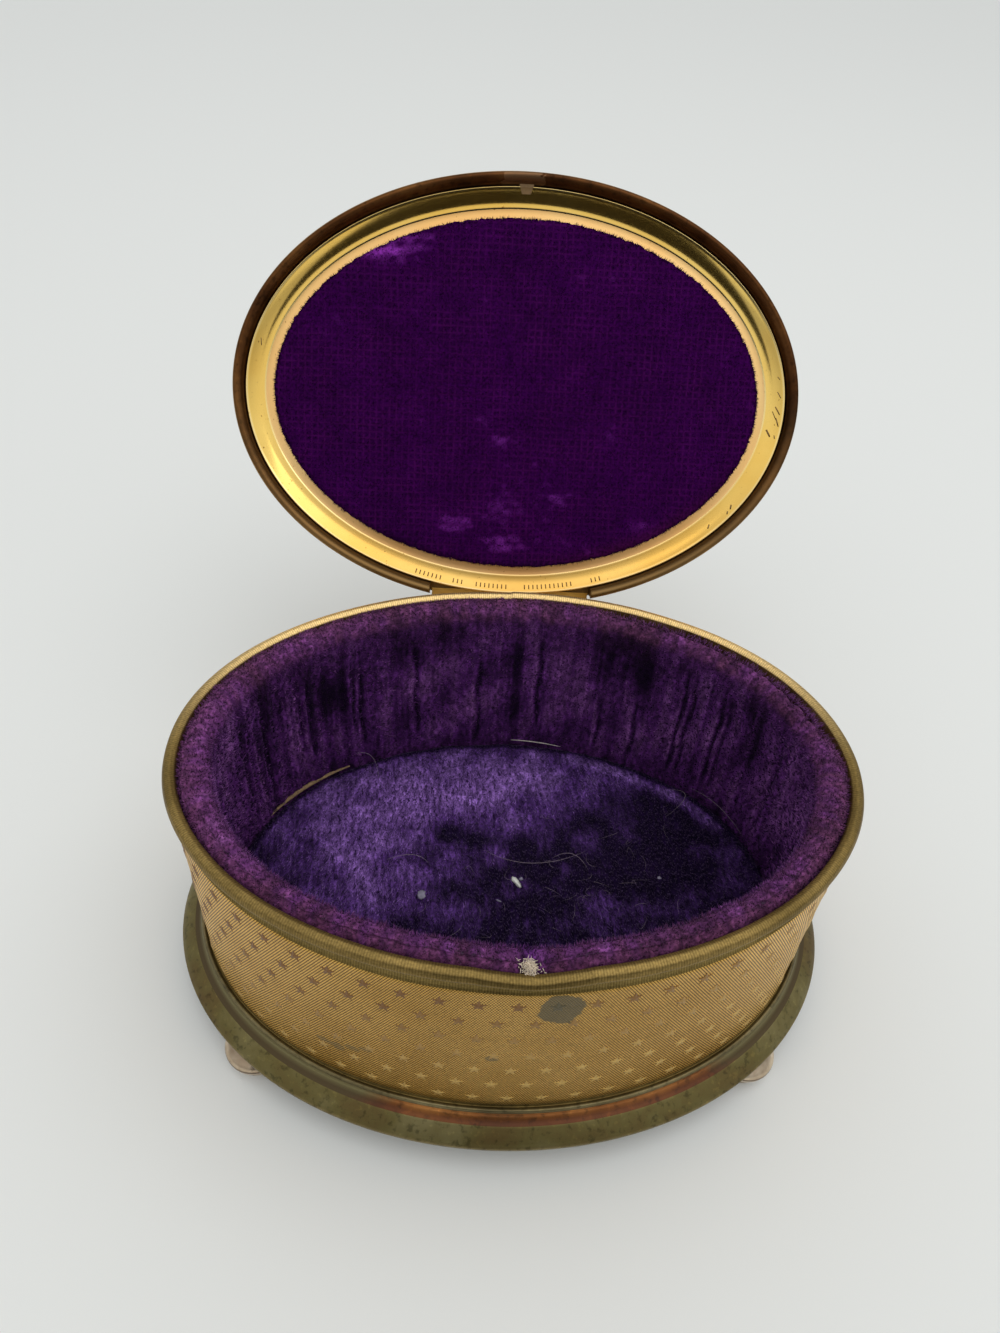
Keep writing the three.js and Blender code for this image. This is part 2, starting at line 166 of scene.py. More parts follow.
# Camera, from fitting a pinhole camera to the outlines of rim, base, wall foot and lid
CAMERA_FOCAL_PIXELS = 917
CAMERA_FROM_CENTRE = Vector((-7.8, -87.24, 141.57))
CAMERA_PITCH = math.radians(43.79)
CAMERA_ROLL = math.radians(3.89)
CAMERA_PAN = math.radians(-2.98)
IMAGE_HEIGHT = 1333


def make_camera():
    data = bpy.data.cameras.new("camera")
    data.sensor_width = 36
    data.sensor_fit = "AUTO"
    data.lens = data.sensor_width * CAMERA_FOCAL_PIXELS / IMAGE_HEIGHT
    data.clip_start = 0.01
    camera = bpy.data.objects.new("camera", data)
    bpy.context.scene.collection.objects.link(camera)
    pan = Matrix.Rotation(CAMERA_PAN, 3, "Z")
    right = pan @ Vector((1, 0, 0))
    forward = pan @ Vector((0, math.cos(CAMERA_PITCH), -math.sin(CAMERA_PITCH)))
    up = pan @ Vector((0, math.sin(CAMERA_PITCH), math.cos(CAMERA_PITCH)))
    cos_roll, sin_roll = math.cos(CAMERA_ROLL), math.sin(CAMERA_ROLL)
    rolled_right = cos_roll * right + sin_roll * up
    rolled_up = cos_roll * up - sin_roll * right
    place = (CAMERA_FROM_CENTRE + Vector((0, CENTRE_Y, FLANGE_UNDER))) * MM
    rotation = Matrix((rolled_right, rolled_up, -forward)).transposed()
    camera.matrix_world = Matrix.Translation(place) @ rotation.to_4x4()
    bpy.context.scene.camera = camera


make_camera()


# Mesh helpers

def arc(centre_reach, centre_z, radius, start, end, steps):
    angles = np.radians(np.linspace(start, end, steps + 1))
    return [(centre_reach + radius * math.cos(a), centre_z + radius * math.sin(a)) for a in angles]


def refine(points, longest):
    """Adds points along a section so that no step is longer than asked."""
    result = [points[0]]
    for first, last in zip(points[:-1], points[1:]):
        length = math.dist(first, last)
        steps = max(1, math.ceil(length / longest))
        for step in range(1, steps + 1):
            share = step / steps
            result.append(tuple(a + (b - a) * share for a, b in zip(first, last)))
    return result


def zoned_section(parts, longest):
    """Joins the parts of a section, each with the number of its material, refined on the way."""
    section, zones = [], []
    for points, zone in parts:
        finer = refine(([section[-1]] if section else []) + points, longest)
        added = finer[1:] if section else finer
        zones += [zone] * (len(added) if section else len(added) - 1)
        section += added
    return section, zones


def open_lid(points):
    """Turns points of the closed lid about the hinge to where it rests open."""
    y, z = points[..., 1] - HINGE_Y, points[..., 2] - HINGE_Z
    cos_open, sin_open = math.cos(-LID_OPEN), math.sin(-LID_OPEN)
    turned = points.copy()
    turned[..., 1] = HINGE_Y + y * cos_open - z * sin_open
    turned[..., 2] = HINGE_Z + y * sin_open + z * cos_open
    return turned


def mesh_object(name, points, faces, materials, body, face_material=None, smooth=True):
    """A mesh piece from points in millimetres, riding on a body."""
    mesh = bpy.data.meshes.new(name)
    mesh.from_pydata((np.asarray(points) * MM).tolist(), [], faces)
    for material in materials:
        mesh.materials.append(material)
    if face_material is not None:
        mesh.polygons.foreach_set("material_index", np.asarray(face_material, np.int32))
    mesh.polygons.foreach_set("use_smooth", np.full(len(mesh.polygons), smooth))
    mesh.validate()
    mesh.update()
    piece = bpy.data.objects.new(name, mesh)
    bpy.context.scene.collection.objects.link(piece)
    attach(piece, body)
    return piece


def signed_volume(points, faces):
    triangles = np.array([(f[0], f[k], f[k + 1]) for f in faces for k in range(1, len(f) - 1)])
    a, b, c = (np.asarray(points)[triangles[:, k]] for k in range(3))
    return float((np.cross(a, b) * c).sum())


def sweep(name, oval, section, turns, materials, body, zones=None, warp=None, lid=False,
          nap=None):
    """Sweeps a section around an oval. The section closes on itself, or starts and ends in the
    middle. warp(turn, reach, height) may shift the swept points. zones gives each section step
    a material. nap(turn, reach, height) gives a velvet's tone and wear at each point. The UV map
    named wrap holds metres along the outline and along the section."""
    section = np.array(section, float)
    capped = abs(section[0, 0] + oval.half_depth) < 1e-6
    if not capped:
        section = section[:-1]
    columns = len(section)
    sides = len(turns)
    inner = section[1:-1] if capped else section
    turn_grid = np.repeat(turns[:, None], len(inner), 1)
    reach_grid = np.repeat(inner[None, :, 0], sides, 0)
    height_grid = np.repeat(inner[None, :, 1], sides, 0)
    naps = None if nap is None else nap(turn_grid, reach_grid, height_grid)
    if warp is not None:
        reach_grid, height_grid = warp(turn_grid, reach_grid, height_grid)
    x, y = oval.point(turn_grid, reach_grid)
    points = np.stack([x, y, height_grid], -1).reshape(-1, 3)
    rows = len(inner)
    side = np.arange(sides)[:, None]
    after = (side + 1) % sides
    step = np.arange(rows - 1 if capped else rows)[None, :]
    above = (step + 1) % rows
    corners = [side * rows + step, after * rows + step, after * rows + above, side * rows + above]
    faces = np.stack([np.broadcast_to(c, (sides, step.size)) for c in corners], -1)
    faces = faces.reshape(-1, 4).tolist()
    offset = 1 if capped else 0
    step_of_face = np.tile(np.arange(step.size) + offset, sides).tolist()
    if capped:
        first, last = len(points), len(points) + 1
        ends = [(0, CENTRE_Y, section[0, 1]), (0, CENTRE_Y, section[-1, 1])]
        points = np.concatenate([points, np.array(ends)])
        for index in range(sides):
            follow = (index + 1) % sides
            faces.append([first, follow * rows, index * rows])
            step_of_face.append(0)
            faces.append([last, index * rows + rows - 1, follow * rows + rows - 1])
            step_of_face.append(columns - 2)
    lengths = np.concatenate([[0], np.cumsum(np.hypot(*np.diff(section, axis=0).T))])
    around = oval.arc_lengths(np.append(turns, TAU), 0)
    if signed_volume(points, faces) < 0:
        faces = [face[::-1] for face in faces]
    if lid:
        points = open_lid(points)
    face_material = None if zones is None else [zones[k] for k in step_of_face]
    piece = mesh_object(name, points, faces, materials, body, face_material)
    write_wrap(piece, rows, sides, around, lengths[offset:offset + rows], lengths[-1])
    if naps is not None:
        for label, values in zip(("tone", "wear"), naps):
            ends_too = np.full(len(piece.data.vertices), float(np.mean(values)))
            ends_too[:rows * sides] = np.broadcast_to(values, turn_grid.shape).ravel()
            write_attribute(piece, label, ends_too)
    return piece


def write_attribute(piece, label, values):
    layer = piece.data.attributes.new(label, "FLOAT", "POINT")
    layer.data.foreach_set("value", np.asarray(values, np.float32))


def read_attribute(piece, label):
    values = np.zeros(len(piece.data.vertices), np.float32)
    piece.data.attributes[label].data.foreach_get("value", values)
    return values


def write_wrap(piece, rows, sides, around, along, full):
    mesh = piece.data
    layer = mesh.uv_layers.new(name="wrap")
    vertex = np.zeros(len(mesh.loops), np.int64)
    mesh.loops.foreach_get("vertex_index", vertex)
    grid = vertex < rows * sides
    side = np.where(grid, vertex // rows, 0)
    row = np.where(grid, vertex % rows, 0)
    u = around[side].copy()
    v = np.where(grid, along[row], 0.0)
    starts = np.zeros(len(mesh.polygons), np.int64)
    totals = np.zeros(len(mesh.polygons), np.int64)
    mesh.polygons.foreach_get("loop_start", starts)
    mesh.polygons.foreach_get("loop_total", totals)
    face = np.repeat(np.arange(len(starts)), totals)
    highest = np.zeros(len(starts))
    np.maximum.at(highest, face, u)
    wraps = (highest[face] > around[-1] * 0.75) & (u < around[-1] * 0.25)
    u = np.where(wraps, u + around[-1], u)
    high_row = np.zeros(len(starts))
    np.maximum.at(high_row, face, v)
    v = np.where((high_row[face] > full * 0.75) & (v < full * 0.1) & grid, v + full, v)
    layer.data.foreach_set("uv", np.stack([u, v], -1).ravel() * MM)


def ripples(count, low, high, seed):
    """Random waves for a smooth uneven surface: frequencies in waves a turn or a millimetre."""
    random = np.random.default_rng(seed)
    return random.uniform(low, high, count), random.uniform(0, TAU, count)


def around_noise(turn, count, low, high, seed):
    """Smooth noise around an oval, roughly from -1 to 1."""
    waves, phases = ripples(count, low, high, seed)
    total = sum(np.sin(np.round(w) * turn + p) for w, p in zip(waves, phases))
    return total / math.sqrt(count)


def plane_noise(x, y, count, low, high, seed):
    """Smooth noise over two coordinates in millimetres, roughly from -1 to 1."""
    waves, phases = ripples(count, low, high, seed)
    headings = np.random.default_rng(seed + 1).uniform(0, TAU, count)
    total = sum(
        np.sin(TAU * w * (x * math.cos(h) + y * math.sin(h)) + p)
        for w, p, h in zip(waves, phases, headings)
    )
    return total / math.sqrt(count)


def bell(value, centre, width):
    return np.exp(-(((value - centre) / width) ** 2))


def rise(value, low, high):
    """0 below low, 1 above high and smooth between."""
    share = np.clip((value - low) / (high - low), 0, 1)
    return share * share * (3 - 2 * share)


def unit(vectors):
    return vectors / np.maximum(np.linalg.norm(vectors, axis=-1, keepdims=True), 1e-9)


def scatter(piece, count, wanted, seed):
    """Random roots on a piece's faces, with normals, tone and wear, in millimetres.
    wanted(centres, normals) weighs the faces."""
    mesh = piece.data
    corners = np.zeros(len(mesh.vertices) * 3)
    mesh.vertices.foreach_get("co", corners)
    corners = corners.reshape(-1, 3) / MM
    quads = np.array([tuple(face.vertices) for face in mesh.polygons if len(face.vertices) == 4])
    a, b, c, d = (corners[quads[:, k]] for k in range(4))
    across = np.cross(c - a, d - b)
    area = np.linalg.norm(across, axis=1) / 2
    normals = unit(across)
    weights = area * wanted((a + b + c + d) / 4, normals)
    random = np.random.default_rng(seed)
    pick = random.choice(len(quads), count, p=weights / weights.sum())
    s, t = random.random((2, count, 1))
    shares = ((1 - s) * (1 - t), s * (1 - t), s * t, (1 - s) * t)
    places = sum(share * corner[pick] for share, corner in zip(shares, (a, b, c, d)))
    tone = read_attribute(piece, "tone")[quads[pick]].mean(axis=1)
    wear = read_attribute(piece, "wear")[quads[pick]].mean(axis=1)
    return places, normals[pick], tone, wear


# Painted shade at the roots of the pile, painted light at its tips
SHADED_ROOT_TONE = 0.45
LIT_TIP_TONE = 1.25


def make_pile(name, roots, directions, lengths, radius, tone, wear, material, body, seed):
    """Closed three-sided spikes, with painted shade at the root and painted light at the tip."""
    random = np.random.default_rng(seed)
    count = len(roots)
    side = unit(np.cross(directions, random.normal(size=(count, 3))))
    other = np.cross(directions, side)
    rings = [roots + radius * (math.cos(a) * side + math.sin(a) * other) - 0.05 * directions
             for a in (0, TAU / 3, 2 * TAU / 3)]
    tips = roots + directions * lengths[:, None]
    points = np.stack([*rings, tips], 1).reshape(-1, 3)
    first = 4 * np.arange(count)[:, None, None]
    spike = np.array([[0, 2, 1], [0, 1, 3], [1, 2, 3], [2, 0, 3]])
    faces = (first + spike).reshape(-1, 3).tolist()
    piece = mesh_object(name, points, faces, [material], body)
    share = np.array([SHADED_ROOT_TONE] * 3 + [LIT_TIP_TONE])
    write_attribute(piece, "tone", (tone[:, None] * share).ravel())
    write_attribute(piece, "wear", np.repeat(wear, 4))
    return piece


def front_dip(turn, reach, height):
    """The dip pressed into the front of the rim, as in the part, with a rounded bottom."""
    x, y = RIM.point(turn, reach)
    offset = np.abs(x - DIP_CENTRE) / DIP_HALF_WIDTH
    level = np.clip((height - (RIM_TOP - DIP_REACH_DOWN)) / DIP_REACH_DOWN, 0, 1)
    round_offset = np.sqrt(offset ** 2 + 0.01) - 0.1
    front = (y < CENTRE_Y) & (offset < 1)
    return np.where(front, DIP_DEPTH * np.clip(1 - round_offset, 0, 1) * level, 0)


# How finely the ovals are divided, and how many fibres each pile has
BAND_SIDES = 520
BASE_SIDES = 400
PAD_SIDES = 320
LID_SIDES = 320
LINER_SIDES = 400
WALL_FIBRES = 38000
ROLL_FIBRES = 24000
FLOOR_FIBRES = 31000
LID_FIBRES = 16000


# Material helpers

WHITE = (1.0, 1.0, 1.0)


def srgb(red, green, blue):
    """A colour of 0 to 255 a channel as the linear values that shaders take."""
    shares = (value / 255 for value in (red, green, blue))
    return tuple(s / 12.92 if s <= 0.04045 else ((s + 0.055) / 1.055) ** 2.4 for s in shares)


class Shader:
    """A node material with a Principled shader and short ways to add nodes."""

    def __init__(self, name, roughness=0.5, metallic=0.0):
        self.material = bpy.data.materials.new(name)
        self.material.use_nodes = True
        self.tree = self.material.node_tree
        self.bsdf = self.tree.nodes["Principled BSDF"]
        self.bsdf.inputs["Roughness"].default_value = roughness
        self.bsdf.inputs["Metallic"].default_value = metallic

    def link(self, source, target):
        if isinstance(target, str):
            target = self.bsdf.inputs[target]
        self.tree.links.new(source, target)

    def set(self, **values):
        for name, value in values.items():
            self.bsdf.inputs[name.replace("_", " ")].default_value = value

    def node(self, kind, **values):
        node = self.tree.nodes.new("ShaderNode" + kind)
        for name, value in values.items():
            setattr(node, name, value)
        return node

    def wrap(self, scale=(1, 1, 1)):
        """Metres along the outline and along the section."""
        return self.mapped(self.node("UVMap", uv_map="wrap").outputs["UV"], scale)

    def place(self, scale=(1, 1, 1)):
        return self.mapped(self.node("TexCoord").outputs["Object"], scale)

    def mapped(self, vector, scale, turn=0.0):
        mapping = self.node("Mapping")
        mapping.inputs["Scale"].default_value = scale
        mapping.inputs["Rotation"].default_value = (0, 0, turn)
        self.link(vector, mapping.inputs["Vector"])
        return mapping.outputs["Vector"]

    def noise(self, vector, scale, detail=3.0, roughness=0.55, distortion=0.0):
        noise = self.node("TexNoise")
        noise.inputs["Scale"].default_value = scale
        noise.inputs["Detail"].default_value = detail
        noise.inputs["Roughness"].default_value = roughness
        noise.inputs["Distortion"].default_value = distortion
        self.link(vector, noise.inputs["Vector"])
        return noise.outputs["Fac"]

    def ramp(self, factor, *stops):
        ramp = self.node("ValToRGB")
        elements = ramp.color_ramp.elements
        while len(elements) < len(stops):
            elements.new(0.5)
        for element, (position, value) in zip(elements, stops):
            element.position = position
            element.color = (value, value, value, 1) if isinstance(value, float) else (*value, 1)
        self.link(factor, ramp.inputs["Fac"])
        return ramp.outputs["Color"]

    def mix(self, factor, first, second, blend="MIX"):
        mix = self.node("Mix", data_type="RGBA", blend_type=blend)
        for value, socket in ((factor, 0), (first, 6), (second, 7)):
            if isinstance(value, tuple):
                mix.inputs[socket].default_value = (*value, 1)
            elif isinstance(value, float):
                mix.inputs[socket].default_value = value
            else:
                self.link(value, mix.inputs[socket])
        return mix.outputs[2]

    def math(self, operation, first, second=None, clamp=False):
        node = self.node("Math", operation=operation, use_clamp=clamp)
        for value, socket in ((first, 0), (second, 1)):
            if value is None:
                continue
            if isinstance(value, (int, float)):
                node.inputs[socket].default_value = value
            else:
                self.link(value, node.inputs[socket])
        return node.outputs[0]

    def split(self, vector):
        node = self.node("SeparateXYZ")
        self.link(vector, node.inputs[0])
        return node.outputs

    def bump(self, height, distance, strength=1.0, normal=None):
        bump = self.node("Bump")
        bump.inputs["Strength"].default_value = strength
        bump.inputs["Distance"].default_value = distance
        self.link(height, bump.inputs["Height"])
        if normal is not None:
            self.link(normal, bump.inputs["Normal"])
        return bump.outputs["Normal"]

    def spot(self, coordinate, centre, half):
        """1 in the middle of an ellipse, falling to 0 at its edge and below outside it."""
        parts = self.split(coordinate)
        total = None
        for index, (middle, reach) in enumerate(zip(centre, half)):
            away = self.math("DIVIDE", self.math("SUBTRACT", parts[index], middle), reach)
            square = self.math("MULTIPLY", away, away)
            total = square if total is None else self.math("ADD", total, square)
        return self.math("SUBTRACT", 1.0, total)


HATCH_LINES = 668
HATCH_SLOPE = 0.595
NOTCH_LINES = 755
RIM_PERIMETER = float(RIM.arc_lengths(np.linspace(0, TAU, 4001), 0)[-1])
HATCH_PITCH = RIM_PERIMETER / HATCH_LINES * MM
NOTCH_PITCH = RIM_PERIMETER / NOTCH_LINES * MM


def hatch(shader, coordinate):
    """Fine diagonal lines both ways, rising to the right more on the left and the other way
    more on the right, as the light picks them out."""
    along, up, _ = shader.split(coordinate)
    raised = shader.math("MULTIPLY", up, HATCH_SLOPE)
    lines = []
    for operation in ("SUBTRACT", "ADD"):
        phase = shader.math("DIVIDE", shader.math(operation, along, raised), HATCH_PITCH)
        lines.append(shader.math("MULTIPLY", shader.math("PINGPONG", phase, 0.5), 2.0))
    x = shader.split(shader.place())[0]
    side = shader.ramp(shader.math("ADD", shader.math("DIVIDE", x, 2 * RIM.half_width * MM), 0.5),
                       (0.25, 0.12), (0.75, 0.88))
    rest = shader.math("SUBTRACT", 1.0, side)
    first = shader.math("MULTIPLY", lines[0], rest)
    return shader.math("ADD", first, shader.math("MULTIPLY", lines[1], side))


# Stains on the front: millimetres along the band from its front, and above its foot
STAIN = ((5.4, 28.4), (3.1, 4.0))
SMALL_STAIN = ((RIM_PERIMETER - 2.7, 14.6), (1.0, 0.8))
LEFT_STAINS = (((RIM_PERIMETER - 26.8, 8.1), (1.3, 0.8)), ((RIM_PERIMETER - 24.6, 8.0), (1.2, 1.1)),
               ((RIM_PERIMETER - 22.3, 9.2), (1.4, 0.7)), ((RIM_PERIMETER - 20.4, 10.1), (1.1, 0.6)))


def stain_mask(shader, wrap, stain, strength):
    centre, half = ([value * MM for value in pair] for pair in stain)
    inside = shader.spot(wrap, centre, half)
    noise = shader.noise(shader.place(), 420, 4, 0.65)
    rough_edge = shader.math("ADD", inside, shader.math("MULTIPLY", noise, 1.6))
    return shader.ramp(rough_edge, (0.88, 0.0), (1.0, strength))


def band_ground():
    shader = Shader("band_ground", 0.46, 1.0)
    wrap = shader.wrap()
    place = shader.place()
    height = hatch(shader, wrap)
    broad = shader.noise(place, 60, 4)
    fine = shader.noise(place, 2600, 2)
    gold = shader.ramp(broad, (0.30, srgb(214, 170, 84)), (0.55, srgb(230, 188, 104)),
                       (0.75, srgb(244, 204, 124)))
    # Painted shade in the hatch's grooves, on the lines the light picks out
    groove_shade = shader.ramp(height, (0.15, srgb(112, 90, 64)), (0.7, WHITE))
    colour = shader.mix(1.0, gold, groove_shade, "MULTIPLY")
    # Bright specks are painted glints; the darker specks are grains
    grain_and_glint = shader.ramp(fine, (0.33, srgb(180, 175, 160)), (0.5, WHITE),
                        (0.66, (1.4, 1.35, 1.2)))
    colour = shader.mix(0.35, colour, grain_and_glint, "MULTIPLY")
    sideways = shader.math("ABSOLUTE", shader.split(place)[0])
    worn = shader.ramp(shader.math("DIVIDE", sideways, RIM.half_width * MM),
                       (0.2, srgb(240, 238, 236)), (0.85, (1.1, 1.1, 1.07)))
    colour = shader.mix(1.0, colour, worn, "MULTIPLY")
    stain = stain_mask(shader, wrap, STAIN, 0.8)
    for spot, strength in ((SMALL_STAIN, 0.6), *((spot, 0.45) for spot in LEFT_STAINS)):
        stain = shader.math("MAXIMUM", stain, stain_mask(shader, wrap, spot, strength))
    colour = shader.mix(stain, colour, srgb(72, 69, 47))
    shader.link(colour, "Base Color")
    shader.link(shader.math("SUBTRACT", 1.0, shader.math("MULTIPLY", stain, 0.6)), "Metallic")
    normal = shader.bump(height, 0.00007, 0.8)
    shader.link(shader.bump(fine, 0.00002, 0.3, normal), "Normal")
    return shader.material


def notched(name, dark, light, back, roughness, notches):
    """Gilt with fine notches across it, as on a milled edge, shown only as dark lines of painted shade,
    with small grains and painted glints.
    """
    shader = Shader(name, roughness, 1.0)
    along = shader.split(shader.wrap())[0]
    height = shader.math("PINGPONG", shader.math("DIVIDE", along, NOTCH_PITCH), 0.5)
    place = shader.place()
    broad = shader.noise(place, 80, 4)
    fine = shader.noise(place, 3200, 2)
    metal = shader.ramp(broad, (0.34, dark), (0.66, light))
    # Towards the back the metal turns to the back colour, which on the rim is a painted highlight along
    # its back
    depth = shader.math("DIVIDE", shader.split(place)[1], RIM.half_depth * MM)
    behind = shader.ramp(shader.math("ADD", depth, 1.0), (0.35, 0.0), (1.2, 1.0))
    metal = shader.mix(behind, metal, back)
    # Painted shade in the notches, which have no relief
    groove_shade = shader.ramp(height, (0.05, srgb(130, 118, 90)), (0.35, WHITE))
    colour = shader.mix(notches, metal, groove_shade, "MULTIPLY")
    # Bright specks are painted glints; the darker specks are grains
    grain_and_glint = shader.ramp(fine, (0.36, srgb(165, 158, 135)), (0.52, WHITE),
                        (0.68, (1.5, 1.42, 1.2)))
    colour = shader.mix(0.35, colour, grain_and_glint, "MULTIPLY")
    stain = stain_mask(shader, shader.wrap(), STAIN, 0.7)
    shader.link(shader.mix(stain, colour, srgb(92, 84, 56)), "Base Color")
    shader.link(shader.bump(fine, 0.00004, 0.5), "Normal")
    return shader.material


def plain_gilt(name, dark, light, roughness, bump=0.00003):
    """Plain gilt with worn patches and fine scratches."""
    shader = Shader(name, roughness, 1.0)
    place = shader.place()
    broad = shader.noise(place, 140, 4)
    scratches = shader.noise(shader.mapped(place, (400, 5200, 5200), 0.6), 1.0, 2)
    shader.link(shader.ramp(broad, (0.35, dark), (0.65, light)), "Base Color")
    rough = shader.ramp(scratches, (0.4, roughness), (0.7, roughness + 0.15))
    shader.link(rough, "Roughness")
    shader.link(shader.bump(scratches, bump, 0.4), "Normal")
    return shader.material


def patina(name, dark, middle, light, roughness=0.5, metallic=0.55):
    """Tarnished brass with green-grey patina and specks."""
    shader = Shader(name, roughness, metallic)
    place = shader.place()
    broad = shader.noise(place, 70, 5, 0.6)
    fine = shader.noise(place, 900, 4, 0.6)
    colour = shader.ramp(broad, (0.33, dark), (0.5, middle), (0.68, light))
    specks = shader.ramp(fine, (0.33, (0.45, 0.45, 0.4)), (0.46, WHITE),
                         (0.6, WHITE), (0.7, (1.45, 1.45, 1.35)))
    shader.link(shader.mix(0.8, colour, specks, "MULTIPLY"), "Base Color")
    shader.link(shader.bump(fine, 0.00005, 0.5), "Normal")
    return shader


COPPER_SHOWS_FROM = -54.0
COPPER_SHOWS_TO = -58.5
COPPER_SLANT = 0.11


def base_cove_metal():
    """Copper-coloured at the front, olive brown round the sides and back."""
    shader = patina("base_copper", srgb(112, 70, 30), srgb(156, 96, 42), srgb(190, 126, 62),
                    0.42, 0.5)
    across, depth, _ = shader.split(shader.place())
    back = shader.math("SUBTRACT", depth, shader.math("MULTIPLY", across, COPPER_SLANT))
    wide = COPPER_SHOWS_TO - COPPER_SHOWS_FROM
    share = shader.math("DIVIDE", shader.math("SUBTRACT", back, COPPER_SHOWS_FROM * MM), wide * MM)
    waves = shader.math("MULTIPLY", shader.noise(shader.place(), 150, 3), 0.6)
    wavy = shader.math("ADD", share, waves)
    front = shader.ramp(wavy, (0.3, 0.0), (0.8, 1.0))
    old = shader.bsdf.inputs["Base Color"].links[0].from_socket
    colour = shader.mix(front, srgb(124, 114, 74), old)
    up = shader.split(shader.place())[2]
    low = FLANGE_UNDER + FLANGE_EDGE + SLOPE_RISE
    level = shader.math("DIVIDE", shader.math("SUBTRACT", up, low * MM), (PLATE_TOP - low) * MM)
    shade = shader.ramp(level, (0.1, srgb(160, 142, 122)), (0.35, WHITE))
    shader.link(shader.mix(1.0, colour, shade, "MULTIPLY"), "Base Color")
    return shader.material


def liner_gilt(name, dark, light, roughness):
    """Bright gilt with long scratches and small dark spots."""
    shader = Shader(name, roughness, 1.0)
    place = shader.place()
    broad = shader.noise(place, 50, 3)
    spots = shader.noise(place, 1900, 2)
    scratches = shader.noise(shader.mapped(place, (900, 9000, 9000), 0.9), 1.0, 2)
    colour = shader.ramp(broad, (0.35, dark), (0.65, light))
    spotted = shader.ramp(spots, (0.24, srgb(150, 120, 86)), (0.30, WHITE))
    colour = shader.mix(0.9, colour, spotted, "MULTIPLY")
    share = lid_share(shader)
    dulled = shader.ramp(share, (0.03, srgb(208, 198, 200)), (0.4, WHITE))
    shader.link(shader.mix(1.0, colour, dulled, "MULTIPLY"), "Base Color")
    low = shader.ramp(share, (0.03, 0.16), (0.35, 0.0))
    rough = shader.ramp(scratches, (0.55, roughness), (0.8, roughness + 0.12))
    rough = shader.math("ADD", rough, low)
    shader.link(rough, "Roughness")
    return shader.material


def velvet(name, dark, middle, light, worn, sheen, tint, tufts=None):
    """Cut pile. Tone, from 0 to about 1, runs from crushed dark to light nap and also holds painted
    shade and light; wear turns it towards the worn colour. Tufts is how often lighter tufts come
    along each axis, per metre."""
    shader = Shader(name, 0.85, 0.0)
    tone = shader.node("Attribute", attribute_name="tone").outputs["Fac"]
    wear = shader.node("Attribute", attribute_name="wear").outputs["Fac"]
    place = shader.place()
    tips = shader.noise(place, 2600, 2, 0.6)
    colour = shader.ramp(tone, (0.0, dark), (0.45, middle), (1.0, light))
    colour = shader.mix(wear, colour, worn)
    if tufts:
        clumps = shader.noise(shader.mapped(place, tufts), 1.0, 2, 0.5)
        lit = shader.ramp(clumps, (0.36, (0.6, 0.6, 0.62)), (0.5, WHITE),
                          (0.66, (1.6, 1.65, 1.6)))
        colour = shader.mix(0.9, colour, lit, "MULTIPLY")
    sparkle = shader.ramp(tips, (0.36, (0.55, 0.5, 0.55)), (0.66, (1.4, 1.35, 1.4)))
    shader.link(shader.mix(0.8, colour, sparkle, "MULTIPLY"), "Base Color")
    shader.set(Sheen_Weight=sheen, Sheen_Roughness=0.4, Sheen_Tint=(*tint, 1))
    shader.set(Specular_IOR_Level=0.12)
    return shader


def plain(name, colour, roughness=0.8):
    shader = Shader(name, roughness, 0.0)
    grain = shader.noise(shader.place(), 1500, 3)
    shade = shader.ramp(grain, (0.35, tuple(c * 0.7 for c in colour)), (0.65, colour))
    shader.link(shade, "Base Color")
    return shader.material


# Body band with its rim, and the stars on it

BEAD_STEPS = 40
BEAD_RIDGE_DEPTH = 0.04
BEAD_RIDGE_DEGREES = 48


def ridged_bead():
    """The rim's bead with fine ridges along it."""
    points = []
    for degrees in np.linspace(-60, 150, BEAD_STEPS + 1):
        valley = (0.5 - 0.5 * math.cos(math.radians(degrees * 360 / BEAD_RIDGE_DEGREES)))
        radius = BEAD_RADIUS - BEAD_RIDGE_DEPTH * valley
        angle = math.radians(degrees)
        points.append((radius * math.cos(angle) - BEAD_RADIUS,
                       RIM_TOP - BEAD_RADIUS + radius * math.sin(angle)))
    return points


